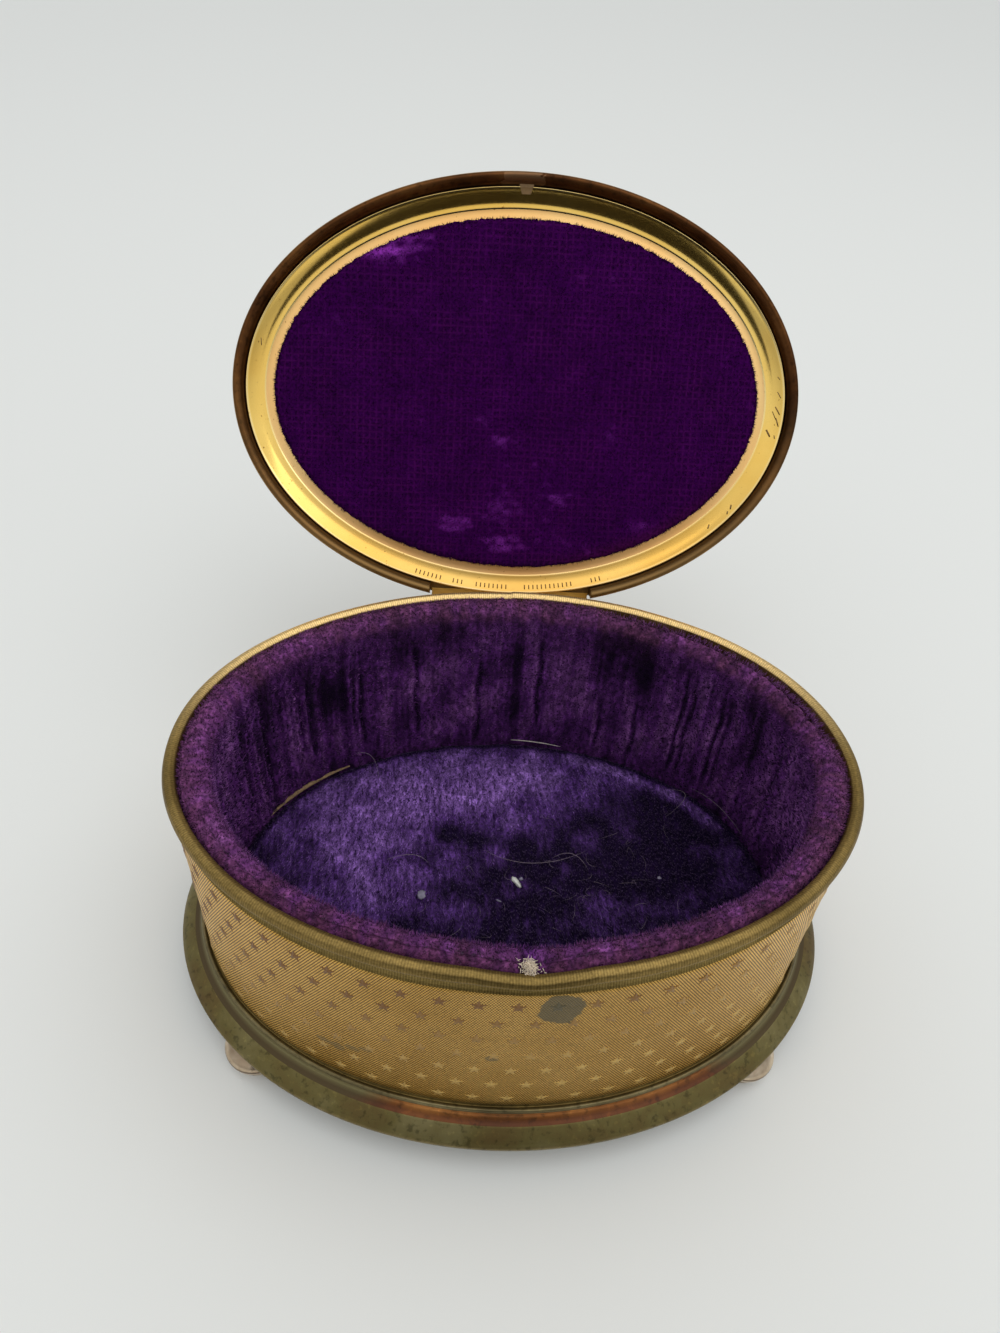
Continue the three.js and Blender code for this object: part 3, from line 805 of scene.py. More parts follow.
def make_band():
    outer = [(-WALL_INSET_FOOT, BAND_FOOT), (-WALL_INSET_TOP, COVE_FOOT)]
    cove = [
        (-WALL_INSET_TOP - 0.2, COVE_FOOT + 0.15),
        (-WALL_INSET_TOP - COVE_DEPTH, COVE_FOOT + COVE_HEIGHT * 0.35),
        (-WALL_INSET_TOP - COVE_DEPTH, COVE_FOOT + COVE_HEIGHT * 0.75),
    ]
    bead = ridged_bead()
    inner = -WALL_INSET_TOP - WALL
    back = [(inner - BEAD_RADIUS * 0.3, COVE_TOP), (inner, COVE_FOOT),
            (-WALL_INSET_FOOT - WALL, BAND_FOOT)]
    wall_part = refine(outer, 1.0)
    cove_part = refine([outer[-1], *cove, bead[0]], 0.25)[1:]
    back_part = refine([bead[-1], *back, outer[0]], 2.0)[1:]
    section = wall_part + cove_part + bead[1:] + back_part
    zones = [0] * (len(wall_part) - 1) + [1] * len(cove_part) + [2] * (len(bead) - 1)
    zones += [3] * len(back_part)
    turns, _ = RIM.even_turns(BAND_SIDES, 0)

    def warp(turn, reach, height):
        drop = front_dip(turn, reach, height)
        level = np.clip((height - COVE_FOOT + 8) / 10, 0, 1)
        sway = 0.07 * around_noise(turn, 6, 3, 14, 3) * level
        seam = np.where(np.sin((turn - math.pi) * 1.0) > 0, -0.22, 0.0)
        near_seam = bell(turn, math.pi, 0.16) * (height > COVE_TOP - 0.5)
        return reach + sway * 0.6, height - drop + seam * near_seam - np.abs(sway) * 0.5

    materials = [
        band_ground(),
        notched("cove_metal", srgb(130, 110, 64), srgb(156, 134, 80), srgb(150, 130, 76), 0.55, 0.5),
        # The rim's pale back colour is a painted highlight along the back of the rim
        notched("rim_metal", srgb(124, 104, 60), srgb(154, 130, 78), srgb(240, 208, 146), 0.5, 0.4),
        plain_gilt("band_inside", srgb(120, 95, 50), srgb(160, 130, 75), 0.5),
    ]
    band = sweep("band", RIM, section, turns, materials, "box", zones, warp)
    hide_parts("body_band")
    return band


STAR_COLUMNS = 55
STAR_ROWS = 7
STAR_ROW_PITCH = 4.45
STAR_TOP_ROW = 34.0
STAR_RADIUS = 1.12
STAR_WAIST = 0.42
STAR_STRETCH = 1.18
STAR_PROUD = 0.02
STAR_PEAK = 0.14
STAR_SUNK = 0.15


def wall_reach(height):
    share = (height - BAND_FOOT) / (COVE_FOOT - BAND_FOOT)
    return -WALL_INSET_FOOT + (WALL_INSET_FOOT - WALL_INSET_TOP) * share


def star_outline():
    points = []
    for corner in range(10):
        radius = STAR_RADIUS * (1 if corner % 2 == 0 else STAR_WAIST)
        angle = math.pi / 2 + corner * TAU / 10
        points.append((radius * math.cos(angle), radius * math.sin(angle) * STAR_STRETCH))
    return points


def make_stars():
    """Five-pointed stars in staggered rows, rising to a low peak out of the hatched ground."""
    outline = star_outline()
    fine = np.linspace(0, TAU, 4001)
    lengths = RIM.arc_lengths(fine, -WALL_INSET_TOP)
    pitch = lengths[-1] / STAR_COLUMNS
    points, faces, wraps = [], [], []
    for row in range(STAR_ROWS):
        height = FLANGE_UNDER + STAR_TOP_ROW - row * STAR_ROW_PITCH
        for column in range(STAR_COLUMNS):
            along = (column + 0.5 * (row % 2)) * pitch
            first = len(points)
            for proud in (-STAR_SUNK, STAR_PROUD):
                for across, up in outline:
                    turn = np.interp((along + across) % lengths[-1], lengths, fine)
                    x, y = RIM.point(turn, wall_reach(height + up) + proud)
                    points.append((float(x), float(y), height + up))
                    wraps.append((along + across, height + up - BAND_FOOT))
            count = len(outline)
            under = list(range(first, first + count))
            over = [index + count for index in under]
            peak = len(points)
            turn = np.interp(along % lengths[-1], lengths, fine)
            x, y = RIM.point(turn, wall_reach(height) + STAR_PEAK)
            points.append((float(x), float(y), height))
            wraps.append((along, height - BAND_FOOT))
            faces.append(under[::-1])
            for index in range(count):
                follow = (index + 1) % count
                faces.append([under[index], under[follow], over[follow], over[index]])
                faces.append([over[index], over[follow], peak])
    stars = mesh_object("band_stars", points, faces, [star_metal()], "box",
                        smooth=False)
    layer = stars.data.uv_layers.new(name="wrap")
    vertex = np.zeros(len(stars.data.loops), np.int64)
    stars.data.loops.foreach_get("vertex_index", vertex)
    layer.data.foreach_set("uv", (np.array(wraps)[vertex] * MM).ravel())
    return stars


def star_metal():
    """Smooth gilt with a painted reflection: browner up on the left and paler low down at the front."""
    shader = Shader("star_gilt", 0.42, 1.0)
    place = shader.place()
    x, _, z = shader.split(place)
    # Painted reflection: browner high up on the left, paler low down and to the right
    down = shader.math("DIVIDE", shader.math("SUBTRACT", COVE_FOOT * MM, z),
                       (COVE_FOOT - BAND_FOOT) * MM)
    right = shader.math("DIVIDE", x, RIM.half_width * MM)
    share = shader.math("ADD", down, shader.math("MULTIPLY", right, 0.35))
    reflection_and_mottle = shader.math("ADD", share, shader.math("MULTIPLY", shader.noise(place, 500, 3), 0.5))
    colour = shader.ramp(reflection_and_mottle, (0.35, srgb(134, 98, 62)), (0.7, srgb(176, 140, 84)),
                         (1.0, srgb(206, 172, 104)))
    stain = stain_mask(shader, shader.wrap(), STAIN, 0.9)
    shader.link(shader.mix(stain, colour, srgb(78, 75, 52)), "Base Color")
    shader.link(shader.math("SUBTRACT", 1.0, shader.math("MULTIPLY", stain, 0.6)), "Metallic")
    return shader.material


# Base moulding

COPPER_LEDGE = 0.2
COPPER_BOW = 0.25
BEAD_DROP = 0.55


def make_base():
    edge_top = FLANGE_UNDER + FLANGE_EDGE
    ring_in = FLANGE_REACH - FLANGE_RING_WIDTH
    bead_radius = FOOT_BEAD_RADIUS
    bead_centre = bead_radius + 0.15
    bead_up = PLATE_TOP - BEAD_DROP
    plate_under = PLATE_TOP - BASE_PLATE
    under = [(AXIS, plate_under), (ring_in, plate_under), (ring_in, FLANGE_UNDER),
             (FLANGE_REACH - 0.2, FLANGE_UNDER)]
    edge = arc(FLANGE_REACH - 0.25, FLANGE_UNDER + 0.25, 0.25, -90, 0, 4)
    edge += arc(FLANGE_REACH - 0.3, edge_top - 0.1, 0.3, 0, 60, 3)
    slope = [
        (FLANGE_REACH - SLOPE_REACH * share, edge_top + SLOPE_RISE * (share ** 0.72))
        for share in np.linspace(0.15, 1, 9)
    ]
    start = slope[-1]
    end = (bead_centre + bead_radius * 0.9, bead_up - bead_radius)
    cove = [start, (start[0] - COPPER_LEDGE, start[1] + 0.05)]
    for share in np.linspace(0.15, 1, 9):
        bow = COPPER_BOW * math.sin(math.pi * share)
        reach = start[0] - COPPER_LEDGE + (end[0] - start[0] + COPPER_LEDGE) * share - bow
        cove.append((reach, start[1] + 0.05 + (end[1] - start[1] - 0.05) * share - bow * 0.6))
    bead = arc(bead_centre, bead_up, bead_radius, -40, 160, 12)
    top = [(0.02, bead_up - 0.1), (-0.15, bead_up), (-0.25, PLATE_TOP), (AXIS, PLATE_TOP)]
    parts = [(under, 3), (edge, 4), (slope, 2), (cove[1:], 1), (bead, 0), (top, 3)]
    section, zones = zoned_section(parts, 1.6)
    turns, _ = RIM.even_turns(BASE_SIDES, 0)
    materials = [
        patina("base_bead", srgb(92, 82, 54), srgb(114, 102, 68), srgb(136, 124, 88),
               0.4, 0.7).material,
        base_cove_metal(),
        patina("base_patina", srgb(98, 76, 40), srgb(108, 97, 54), srgb(130, 120, 80),
               0.5, 0.7).material,
        patina("base_under", srgb(95, 80, 45), srgb(125, 105, 60), srgb(140, 120, 70),
               0.5, 0.9).material,
        patina("base_edge", srgb(104, 90, 54), srgb(124, 110, 70), srgb(146, 132, 92),
               0.45, 0.85).material,
    ]
    base = sweep("base_moulding", RIM, section, turns, materials, "box", zones)
    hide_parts("base")
    return base


# Feet

def foot_profile(height):
    top = height
    centre, half = height * 0.5, height * 0.34
    bulge = FOOT_RADIUS - FOOT_NECK_RADIUS
    disc_top = height * 0.13
    profile = [(0, 0), (FOOT_DISC_RADIUS - 0.35, 0), (FOOT_DISC_RADIUS - 0.1, 0.08),
               (FOOT_DISC_RADIUS, 0.35), (FOOT_DISC_RADIUS, disc_top - 0.2),
               (FOOT_DISC_RADIUS - 0.2, disc_top), (FOOT_DISC_RADIUS - 1.1, disc_top + 0.12)]
    profile += [(FOOT_DISC_RADIUS - 0.35 + 0.25 * math.cos(a), disc_top + 0.5 + 0.25 * math.sin(a))
                for a in np.radians(np.linspace(-80, 80, 7))]
    profile.append((FOOT_DISC_RADIUS - 1.1, disc_top + 0.85))
    for share in np.linspace(-0.62, 1, 18):
        fall = share * share * (0.45 if share < 0 else 0.9)
        profile.append((FOOT_NECK_RADIUS + bulge * (1 - fall), centre + half * share))
    profile += [(FOOT_NECK_RADIUS, top), (0, top)]
    return profile


def foot_metal():
    """Silvery gilt, with painted shade in the groove above the disc, round the bulge and under the
    flange.
    """
    shader = Shader("foot_gilt", 0.28, 1.0)
    place = shader.place()
    broad = shader.noise(place, 300, 3)
    up = shader.math("DIVIDE", shader.split(place)[2], FLANGE_UNDER * MM)
    metal = shader.ramp(broad, (0.35, srgb(184, 162, 136)), (0.65, srgb(226, 208, 182)))
    # Painted shade in the groove above the disc, as a ring round the bulge's middle where the mesh has
    # no groove, and at the top under the flange
    ring_shade = srgb(96, 70, 48)
    grooves = shader.ramp(up, (0.12, WHITE), (0.16, ring_shade), (0.22, srgb(120, 94, 70)),
                          (0.30, WHITE), (0.45, WHITE), (0.50, ring_shade),
                          (0.55, WHITE), (0.66, WHITE), (0.85, srgb(90, 68, 46)))
    shader.link(shader.mix(1.0, metal, grooves, "MULTIPLY"), "Base Color")
    return shader.material


def make_feet():
    metal = foot_metal()
    sides = 64
    for name in ("foot_front_left", "foot_front_right", "foot_back_left", "foot_back_right"):
        low, high = box_mm(name)
        centre = (low + high) / 2
        profile = foot_profile(high[2] - low[2])
        points = [(centre[0], centre[1], profile[0][1]), (centre[0], centre[1], profile[-1][1])]
        ring = profile[1:-1]
        for side in range(sides):
            angle = TAU * side / sides
            points += [(centre[0] + r * math.cos(angle), centre[1] + r * math.sin(angle), z)
                       for r, z in ring]
        faces = []
        count = len(ring)
        for side in range(sides):
            here, there = 2 + side * count, 2 + (side + 1) % sides * count
            faces.append([0, there, here])
            faces.append([1, here + count - 1, there + count - 1])
            faces += [[here + k, there + k, there + k + 1, here + k + 1] for k in range(count - 1)]
        foot = mesh_object(name + "_turned", points, faces, [metal], "box")
        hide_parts(name)


# Velvet wall lining: gathered wall and rolled top edge

# Grooves between gathers of the wall's velvet: turn in degrees, lowest and highest
GROOVES = ((216.2, 24, 41), (214.3, 20, 38), (200.8, 20, 41), (228.5, 22, 40), (230.8, 24, 36),
           (243.0, 20, 40), (246.5, 18, 36), (158.2, 16, 29),
           (149.5, 15, 31), (138.8, 18, 43), (136.6, 18, 42), (128.5, 20, 43), (126.3, 20, 40),
           (173.0, 20, 42), (186.5, 16, 36), (107.0, 20, 38), (252.0, 24, 40))
GROOVE_HALF_WIDTH = 0.4
GROOVE_DEPTH = 0.55

# Crushed places in the wall's pile: turn, height, half sizes, and how much lighter or darker
CRUSHED = ((222, 35, 5, 7, -0.55), (208, 41, 7, 4, -0.3), (243, 35, 4, 8, -0.55), (253, 38, 2, 8, -0.35),
           (158, 38, 2.5, 8, -0.5), (150, 40, 3.5, 8, -0.55),
           (118, 35, 4, 7, -0.45), (178, 33, 3, 10, -0.25), (262, 38, 6, 9, 0.35), (96, 36, 8, 9, 0.3),
           (190, 30, 4, 8, 0.15), (168, 30, 5, 8, 0.2), (140, 28, 8, 7, 0.15), (234, 26, 4, 5, 0.2),
           (75, 40, 12, 8, 0.12), (285, 37, 15, 10, 0.42), (305, 38, 8, 8, 0.2))


def groove_mask(turn, height):
    degrees = np.degrees(turn)
    total = 0.0
    for centre, low, high in GROOVES:
        ends = rise(height, low - 2, low + 3) * (1 - rise(height, high - 3, high + 2))
        total = total + bell(degrees, centre + 0.25 * np.sin(height * 0.5), GROOVE_HALF_WIDTH) * ends
    return np.clip(total, 0, 1)


def lining_nap(turn, reach, height):
    """Tone and wear of the wall's velvet, with painted shade and light in its grooves and on its roll.
    """
    degrees = np.degrees(turn)
    broad = 0.10 * around_noise(turn, 10, 20, 90, 41)
    tone = 0.42 + broad + 0.08 * around_noise(turn, 10, 90, 300, 42)
    arc_way = RIM.half_width * turn
    tone = tone + 0.14 * plane_noise(arc_way, height, 12, 0.03, 0.12, 43)
    tone = tone + 0.06 * plane_noise(arc_way, height, 12, 0.2, 0.6, 44)
    for centre, middle, half_turn, half_height, change in CRUSHED:
        tone = tone + change * bell(degrees, centre, half_turn) * bell(height, middle, half_height)
    tone = tone + 0.1 * bell(height, 25, 8) * (0.5 - 0.5 * np.cos(turn))
    # Painted highlight on the ridge beside each groove, painted shade in the groove
    beside = groove_mask(turn - math.radians(1.1), height)
    tone = tone + 0.3 * beside - 0.8 * groove_mask(turn, height)
    tone = tone - 0.08 * rise(-height, -22, -12)
    roll_top = LINING_HIGH[2]
    crest = rise(height, roll_top - 3.2, roll_top - 0.8)
    outer = rise(reach, -5.4, -2.4)
    front = 0.5 + 0.5 * np.cos(turn)
    left = rise(-np.sin(turn), 0.3, 0.9)
    # Painted sheen on the crest's inner side at the front and painted light on the crest at the left;
    # otherwise the crest is made darker
    tone = tone + crest * (0.06 * front * (1 - outer) + 0.12 * left - 0.19) - 0.05 * crest * outer
    upper = 0.12 * rise(height, roll_top - 9, roll_top - 1)
    wear = crest * (0.48 + 0.3 * outer) + upper * (1 - front)
    wear = wear * (0.85 + 0.2 * plane_noise(arc_way, height, 10, 0.1, 0.5, 45))
    bare = bell(np.degrees(np.angle(np.exp(1j * turn))), BARE_TURN, 1.6) * rise(height, 43.5, 45.5)
    return np.clip(tone, 0.02, 1.1), np.clip(wear, 0, 0.8) * (1 - bare)


BARE_TURN = 1.2


def make_lining():
    outer_foot = -WALL_INSET_FOOT - WALL - SEAT_GAP
    outer_top = -WALL_INSET_TOP - WALL - SEAT_GAP
    inner = outer_top - LINING_THICKNESS
    roll_top = LINING_HIGH[2]
    roll_centre = -2 * BEAD_RADIUS - SEAT_GAP - ROLL_RADIUS
    edge = [(outer_foot, BAND_FOOT), (outer_top, COVE_FOOT),
            (-2 * BEAD_RADIUS - SEAT_GAP, RIM_TOP - 2 * BEAD_RADIUS)]
    roll = arc(roll_centre, roll_top - ROLL_RADIUS, ROLL_RADIUS, 0, 180, 26)
    wall = [(inner - ROLL_BULGE * 0.6, roll_top - 3 * ROLL_RADIUS),
            (inner, roll_top - 6 * ROLL_RADIUS), (inner, BAND_FOOT)]
    section = refine(edge, 4)[:-1] + refine([edge[-1], *roll], 0.4)[:-1]
    section += refine([roll[-1], *wall], 0.7) + [edge[0]]
    turns, _ = RIM.even_turns(BAND_SIDES, -6)
    pile = np.random.default_rng(5)

    def warp(turn, reach, height):
        depth = np.clip((roll_top - height) / 8, 0, 1)
        seen = reach < roll_centre + 0.4
        wave = 0.35 * around_noise(turn, 8, 5, 40, 11) + 0.18 * around_noise(turn, 8, 40, 110, 12)
        lumps = 0.10 * np.sin(9 * turn + height * 0.9) * np.sin(23 * turn - height * 0.5)
        gathers = wave * 0.8 + GROOVE_DEPTH * groove_mask(turn, height)
        push = np.where(seen, gathers * depth + lumps, 0)
        roll_wave = 0.22 * around_noise(turn, 10, 6, 60, 13) * (1 - depth)
        ruffle = pile.normal(0, 0.05, turn.shape) * np.where(height > COVE_TOP, 1.0, seen * 0.9)
        height = height - front_dip(turn, reach, height) * 1.25 + np.minimum(roll_wave, 0.15)
        upper = rise(height, roll_top - 6, roll_top - 1)
        near = rise(np.cos(turn), 0.2, 0.8) * upper
        gap = rim_gap(turn) * upper * rise(reach, roll_centre - 0.5, roll_centre + 1)
        reach = reach + near * 0.8 * seen - 1.5 * gap
        height = height + ruffle * 0.6 - 0.7 * near - 0.6 * gap
        return reach + np.clip(push, -0.3, 1.6) + ruffle, height

    shader = velvet("lining_velvet", srgb(22, 4, 34), srgb(94, 43, 114), srgb(146, 92, 158),
                    srgb(110, 62, 96), 0.15, (0.48, 0.32, 0.52), (1300, 1300, 500))
    material = shader.material
    lining = sweep("velvet_lining", RIM, section, turns, [material], "box",
                   warp=warp, nap=lining_nap)
    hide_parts("wall_lining")
    wall_top = roll_top - 5

    def on_wall(centres, normals):
        inwards = -normals[:, 0] * centres[:, 0] - normals[:, 1] * (centres[:, 1] - CENTRE_Y)
        return (inwards > 0) * (centres[:, 2] > PAD_HIGH[2] - 1.5) * (centres[:, 2] < wall_top)

    def on_roll(centres, normals):
        return (centres[:, 2] >= wall_top) * (normals[:, 2] > -0.5)

    lay_pile("wall_pile", lining, WALL_FIBRES, on_wall, (0, 0, 1.3), 1.15, 0.10, material, 51,
             wall_rows)
    lay_pile("roll_pile", lining, ROLL_FIBRES, on_roll, (0, 0, 0.25), 0.75, 0.085, material, 52,
             roll_ruffles)
    make_fringe(roll_centre, material)
    make_bare_backing()
    return lining


WALL_TUFT_PITCH = 1.0
WALL_TUFT_LENGTH = 2.4
FLOOR_TUFT_PITCH = 1.15
FLOOR_TUFT_LENGTH = 3.0


def wall_places(roots):
    across, depth = roots[:, 0], roots[:, 1] - CENTRE_Y
    turn = np.arctan2(across / RIM.half_width, -depth / RIM.half_depth) % TAU
    fine = np.linspace(0, TAU, 721)
    return turn, np.interp(turn, fine, RIM.arc_lengths(fine, -5)), roots[:, 2]


def dashes(across, along, pitch, length, seed):
    """Columns of lighter dashes, each column starting at a place of its own. From -1 to 1."""
    across = across + 0.25 * plane_noise(across, along, 8, 0.05, 0.25, seed)
    column = np.floor(across / pitch).astype(int)
    starts = np.random.default_rng(seed).uniform(0, TAU, column.max() - column.min() + 1)
    phase = starts[column - column.min()]
    beside = np.cos(TAU * across / pitch)
    down = np.sin(TAU * along / length + phase)
    return 0.65 * -beside + 0.35 * down


def wall_rows(roots):
    """Upright dashes of lighter pile in close columns, with painted shade in the grooves and at the
    wall's foot.
    """
    turn, along, height = wall_places(roots)
    dash = dashes(along, height, WALL_TUFT_PITCH, WALL_TUFT_LENGTH, 91)
    # Painted shade in the grooves, and at the foot of the wall by the floor
    shown = (1.3 + 1.3 * dash) * (1 - 0.97 * groove_mask(turn, height))
    return np.maximum(shown, 0.05) * (0.3 + 0.7 * rise(height, PAD_HIGH[2] - 0.5, PAD_HIGH[2] + 2))


def roll_ruffles(roots):
    _, along, _ = wall_places(roots)
    return 1 + 0.35 * plane_noise(along, roots[:, 1] * 0, 16, 0.25, 0.9, 93)


def floor_streaks(roots):
    """Streaks from back to front in the floor's brushed pile."""
    x, y = roots[:, 0], roots[:, 1]
    dash = dashes(x + 0.15 * y + 100, y, FLOOR_TUFT_PITCH, FLOOR_TUFT_LENGTH, 92)
    return np.maximum(1.25 + 1.1 * dash, 0.05)


GAP_FROM = 98
GAP_TO = 162


def rim_gap(turn):
    """Where the padding has shrunk away from the rim, at the back on the right."""
    degrees = np.degrees(turn)
    return rise(degrees, GAP_FROM - 12, GAP_FROM + 8) * (1 - rise(degrees, GAP_TO - 12, GAP_TO + 6))


def make_fringe(roll_centre, material):
    """Loose brownish hairs that stand across the gap at the rim."""
    random = np.random.default_rng(63)
    count = 900
    degrees = random.uniform(GAP_FROM - 22, GAP_TO + 4, count)
    turn = np.radians(degrees)
    reach = roll_centre + random.uniform(0.2, 1.1, count)
    x, y = RIM.point(turn, reach)
    out_x, out_y = RIM.point(turn, reach + 0.1)
    outwards = unit(np.stack([out_x - x, out_y - y, 0 * x], 1))
    height = LINING_HIGH[2] - 0.7 + random.uniform(-0.5, 0.15, count)
    roots = np.stack([x, y, height], 1)
    directions = unit(outwards + np.array([0, 0, 0.25]) + random.normal(0, 0.3, roots.shape))
    lengths = random.uniform(0.6, 1.5, count)
    tone = random.uniform(0.6, 1.2, count)
    wear = random.uniform(0.2, 0.6, count)
    return make_pile("roll_fringe", roots, directions, lengths, 0.045, tone, wear, material, "box",
                     64)


def lay_pile(name, piece, count, wanted, lean, length, radius, material, seed, detail=None):
    """Covers part of a velvet piece with leaning fibres."""
    roots, normals, tone, wear = scatter(piece, count, wanted, seed)
    random = np.random.default_rng(seed + 100)
    loose = 0.22 if name in ("wall_pile", "floor_pile") else 0.33
    directions = unit(normals + np.array(lean) + random.normal(0, loose, roots.shape))
    lengths = length * random.uniform(0.55, 1.15, count)
    tone = tone * random.uniform(0.45, 1.65, count)
    if detail is not None:
        tone = tone * detail(roots)
    body = "lid" if name.startswith("lid") else "box"
    return make_pile(name, roots, directions, lengths, radius, tone, wear, material,
                     body, seed)


def make_bare_backing():
    """Whitish worn backing that shows at the dip in the front of the rim."""
    random = np.random.default_rng(61)
    count = 260
    turn = np.radians(random.normal(BARE_TURN, 0.6, count))
    spread = np.clip(random.normal(-2.6, 0.55, count), -3.8, -1.6)
    x, y = RIM.point(turn, spread)
    height = RIM_TOP - DIP_DEPTH - 0.05 - 0.3 * np.abs(spread + 2.8)
    roots = np.stack([x, y, height], 1)
    directions = unit(random.normal(0, 0.55, roots.shape) + np.array([0, -0.5, 0.5]))
    lengths = random.uniform(0.25, 0.8, count)
    material = plain("bare_backing", srgb(255, 238, 214), 0.9)
    ones = np.ones(count)
    return make_pile("bare_backing", roots, directions, lengths, 0.08, ones, 0 * ones, material,
                     "box", 62)


# Floor pad

def make_floor_pad():
    edge = -WALL_INSET_TOP - WALL - 2 * SEAT_GAP - LINING_THICKNESS
    under, crown = PAD_LOW[2], PAD_HIGH[2]
    edge_top = crown - PAD_CROWN
    top = [(edge, edge_top - 0.9), (edge - 0.15, edge_top - 0.4), (edge - 0.7, edge_top)]
    section = [(AXIS, under), (edge, under)] + top
    section += [(AXIS * 0.6, edge_top + PAD_CROWN * 0.7), (AXIS + 0.3, crown), (AXIS, crown)]
    section = [section[0]] + refine(section[1:-1], 0.5) + [section[-1]]
    turns, _ = RIM.even_turns(PAD_SIDES, edge)
    pile = np.random.default_rng(6)

    def warp(turn, reach, height):
        x, y = RIM.point(turn, reach)
        on_top = height > edge_top - 0.5
        lump = 0.28 * plane_noise(x, y, 8, 0.02, 0.07, 21)
        crush = 0.12 * plane_noise(x, y, 10, 0.1, 0.3, 22)
        nap = pile.normal(0, 0.05, turn.shape)
        uneven = np.clip((-reach + edge) / 4, 0, 1) * lump + crush * 0.8 + nap
        uneven = uneven * np.clip((reach - AXIS) / 5, 0, 1)
        return reach, height + np.where(on_top, uneven, 0)

    shader = velvet("floor_velvet", srgb(16, 3, 34), srgb(88, 54, 122), srgb(152, 112, 188),
                    srgb(120, 80, 130), 0.18, (0.5, 0.32, 0.7), (1300, 500, 1300))
    pad = sweep("velvet_floor", RIM, section, turns, [shader.material], "box",
                warp=warp, nap=floor_nap)
    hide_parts("floor_pad")

    def on_top(centres, normals):
        return normals[:, 2] > 0.3

    lay_pile("floor_pile", pad, FLOOR_FIBRES, on_top, (0.08, -1.5, 0), 1.5, 0.10,
             shader.material, 53, floor_streaks)
    return pad


# Brushed places in the floor's pile: x, y from the middle, half sizes, lighter or darker
BRUSHED = ((-28, 11, 14, 11, 0.42), (-12, 20, 16, 9, 0.45), (5, 20, 14, 8, 0.42), (-24, -1, 9, 6, 0.30),
           (26, 9, 16, 11, -0.40), (4, -1, 14, 8, -0.30), (-38, 5, 5, 6, -0.25), (-8, 9, 7, 4, -0.2),
           (14, -12, 12, 6, 0.04), (-14, -6, 6, 5, 0.1), (32, -4, 8, 6, -0.2), (6, 15, 5, 2, -0.2),
           (-22, -16, 16, 6, -0.22), (2, -20, 14, 6, -0.2))


def floor_nap(turn, reach, height):
    x, y = RIM.point(turn, reach)
    y = y - CENTRE_Y
    tone = 0.29 + 0.15 * plane_noise(x, y, 14, 0.05, 0.2, 71)
    tone = tone + 0.08 * plane_noise(x * 2.5, y * 0.6, 14, 0.15, 0.5, 72)
    for across, back, half_x, half_y, change in BRUSHED:
        tone = tone + change * bell(x, across, half_x) * bell(y, back, half_y)
    back_right = bell(reach, -8.2, 1.2) * rise(x, 8, 18) * rise(y, 8, 16)
    tone = tone + 0.5 * back_right
    # Painted shadow along the pad's back edge by the wall; the front of the floor is darker too
    tone = tone - 0.6 * rise(reach, -7.1, -6.1) * rise(y, 0, 8) - 0.26 * rise(-y, 4, 14)
    return np.clip(tone, 0.02, 1.0), 0 * tone


# Lid

def make_lid_shell():
    skirt_top = LID_PLANE + LID_SKIRT_HEIGHT
    dome_reach = -LID_WALL - LID_EDGE_BEAD
    dome_radius = LID.half_depth + dome_reach
    dome = [
        (dome_radius * share - LID.half_depth, skirt_top + 0.8 + LID_DOME_RISE * (1 - share ** 2))
        for share in np.linspace(1, 0, 30)
    ]
    under_dome = [(reach, height - LID_WALL) for reach, height in dome][::-1][:-2]
    inner = -LINER_INSET + SEAT_GAP
    inside = under_dome + [(inner, skirt_top - LID_WALL), (inner, LID_PLANE + LINER_RECESS)]
    edge = [(-LID_EDGE_WIDTH, LID_PLANE + 0.15), (-LID_EDGE_WIDTH * 0.6, LID_PLANE),
            (-LID_EDGE_BEAD, LID_PLANE)]
    bead = arc(-0.55, LID_PLANE + 0.75, 0.55, -60, 60, 8)
    skirt = [(-LID_EDGE_BEAD, LID_PLANE + 1.45), (-LID_EDGE_BEAD, skirt_top - 0.6)]
    shoulder = arc(-0.4, skirt_top + 0.1, 0.4, -70, 70, 8)
    parts = [(inside, 0), (edge, 0), (bead, 1), (skirt, 1), (shoulder, 1), (dome, 2)]
    section, zones = zoned_section(parts, 2.0)
    section[-1] = (LID_AXIS, section[-1][1])
    turns, _ = LID.even_turns(LID_SIDES, 0)
    materials = [
        skirt_metal(),
        plain_gilt("lid_skirt", srgb(120, 88, 46), srgb(160, 122, 68), 0.42),
        lid_ground(),
    ]
    shell = sweep("lid_cover", LID, section, turns, materials, "lid", zones, lid=True)
    cut_hinge_opening(shell)
    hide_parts("lid_shell")
    return shell


WEAR_MARK = (-0.4, -58.2, LID_PLANE + 1.2)
WEAR_HALF = 4.0


def lid_slant(shader):
    """Metres up the open lid's plane."""
    _, back, up = shader.split(shader.place())
    tilt = math.pi - LID_OPEN
    return shader.math("ADD", shader.math("MULTIPLY", back, math.cos(tilt)),
                       shader.math("MULTIPLY", up, math.sin(tilt)))


def lid_share(shader):
    """Place up the open lid's plane, from 0 at the hinge to 1 at the far edge."""
    tilt = math.pi - LID_OPEN
    hinge = HINGE_Y * math.cos(tilt) + HINGE_Z * math.sin(tilt)
    from_hinge = shader.math("SUBTRACT", lid_slant(shader), hinge * MM)
    return shader.math("DIVIDE", from_hinge, LID_DEPTH * MM)


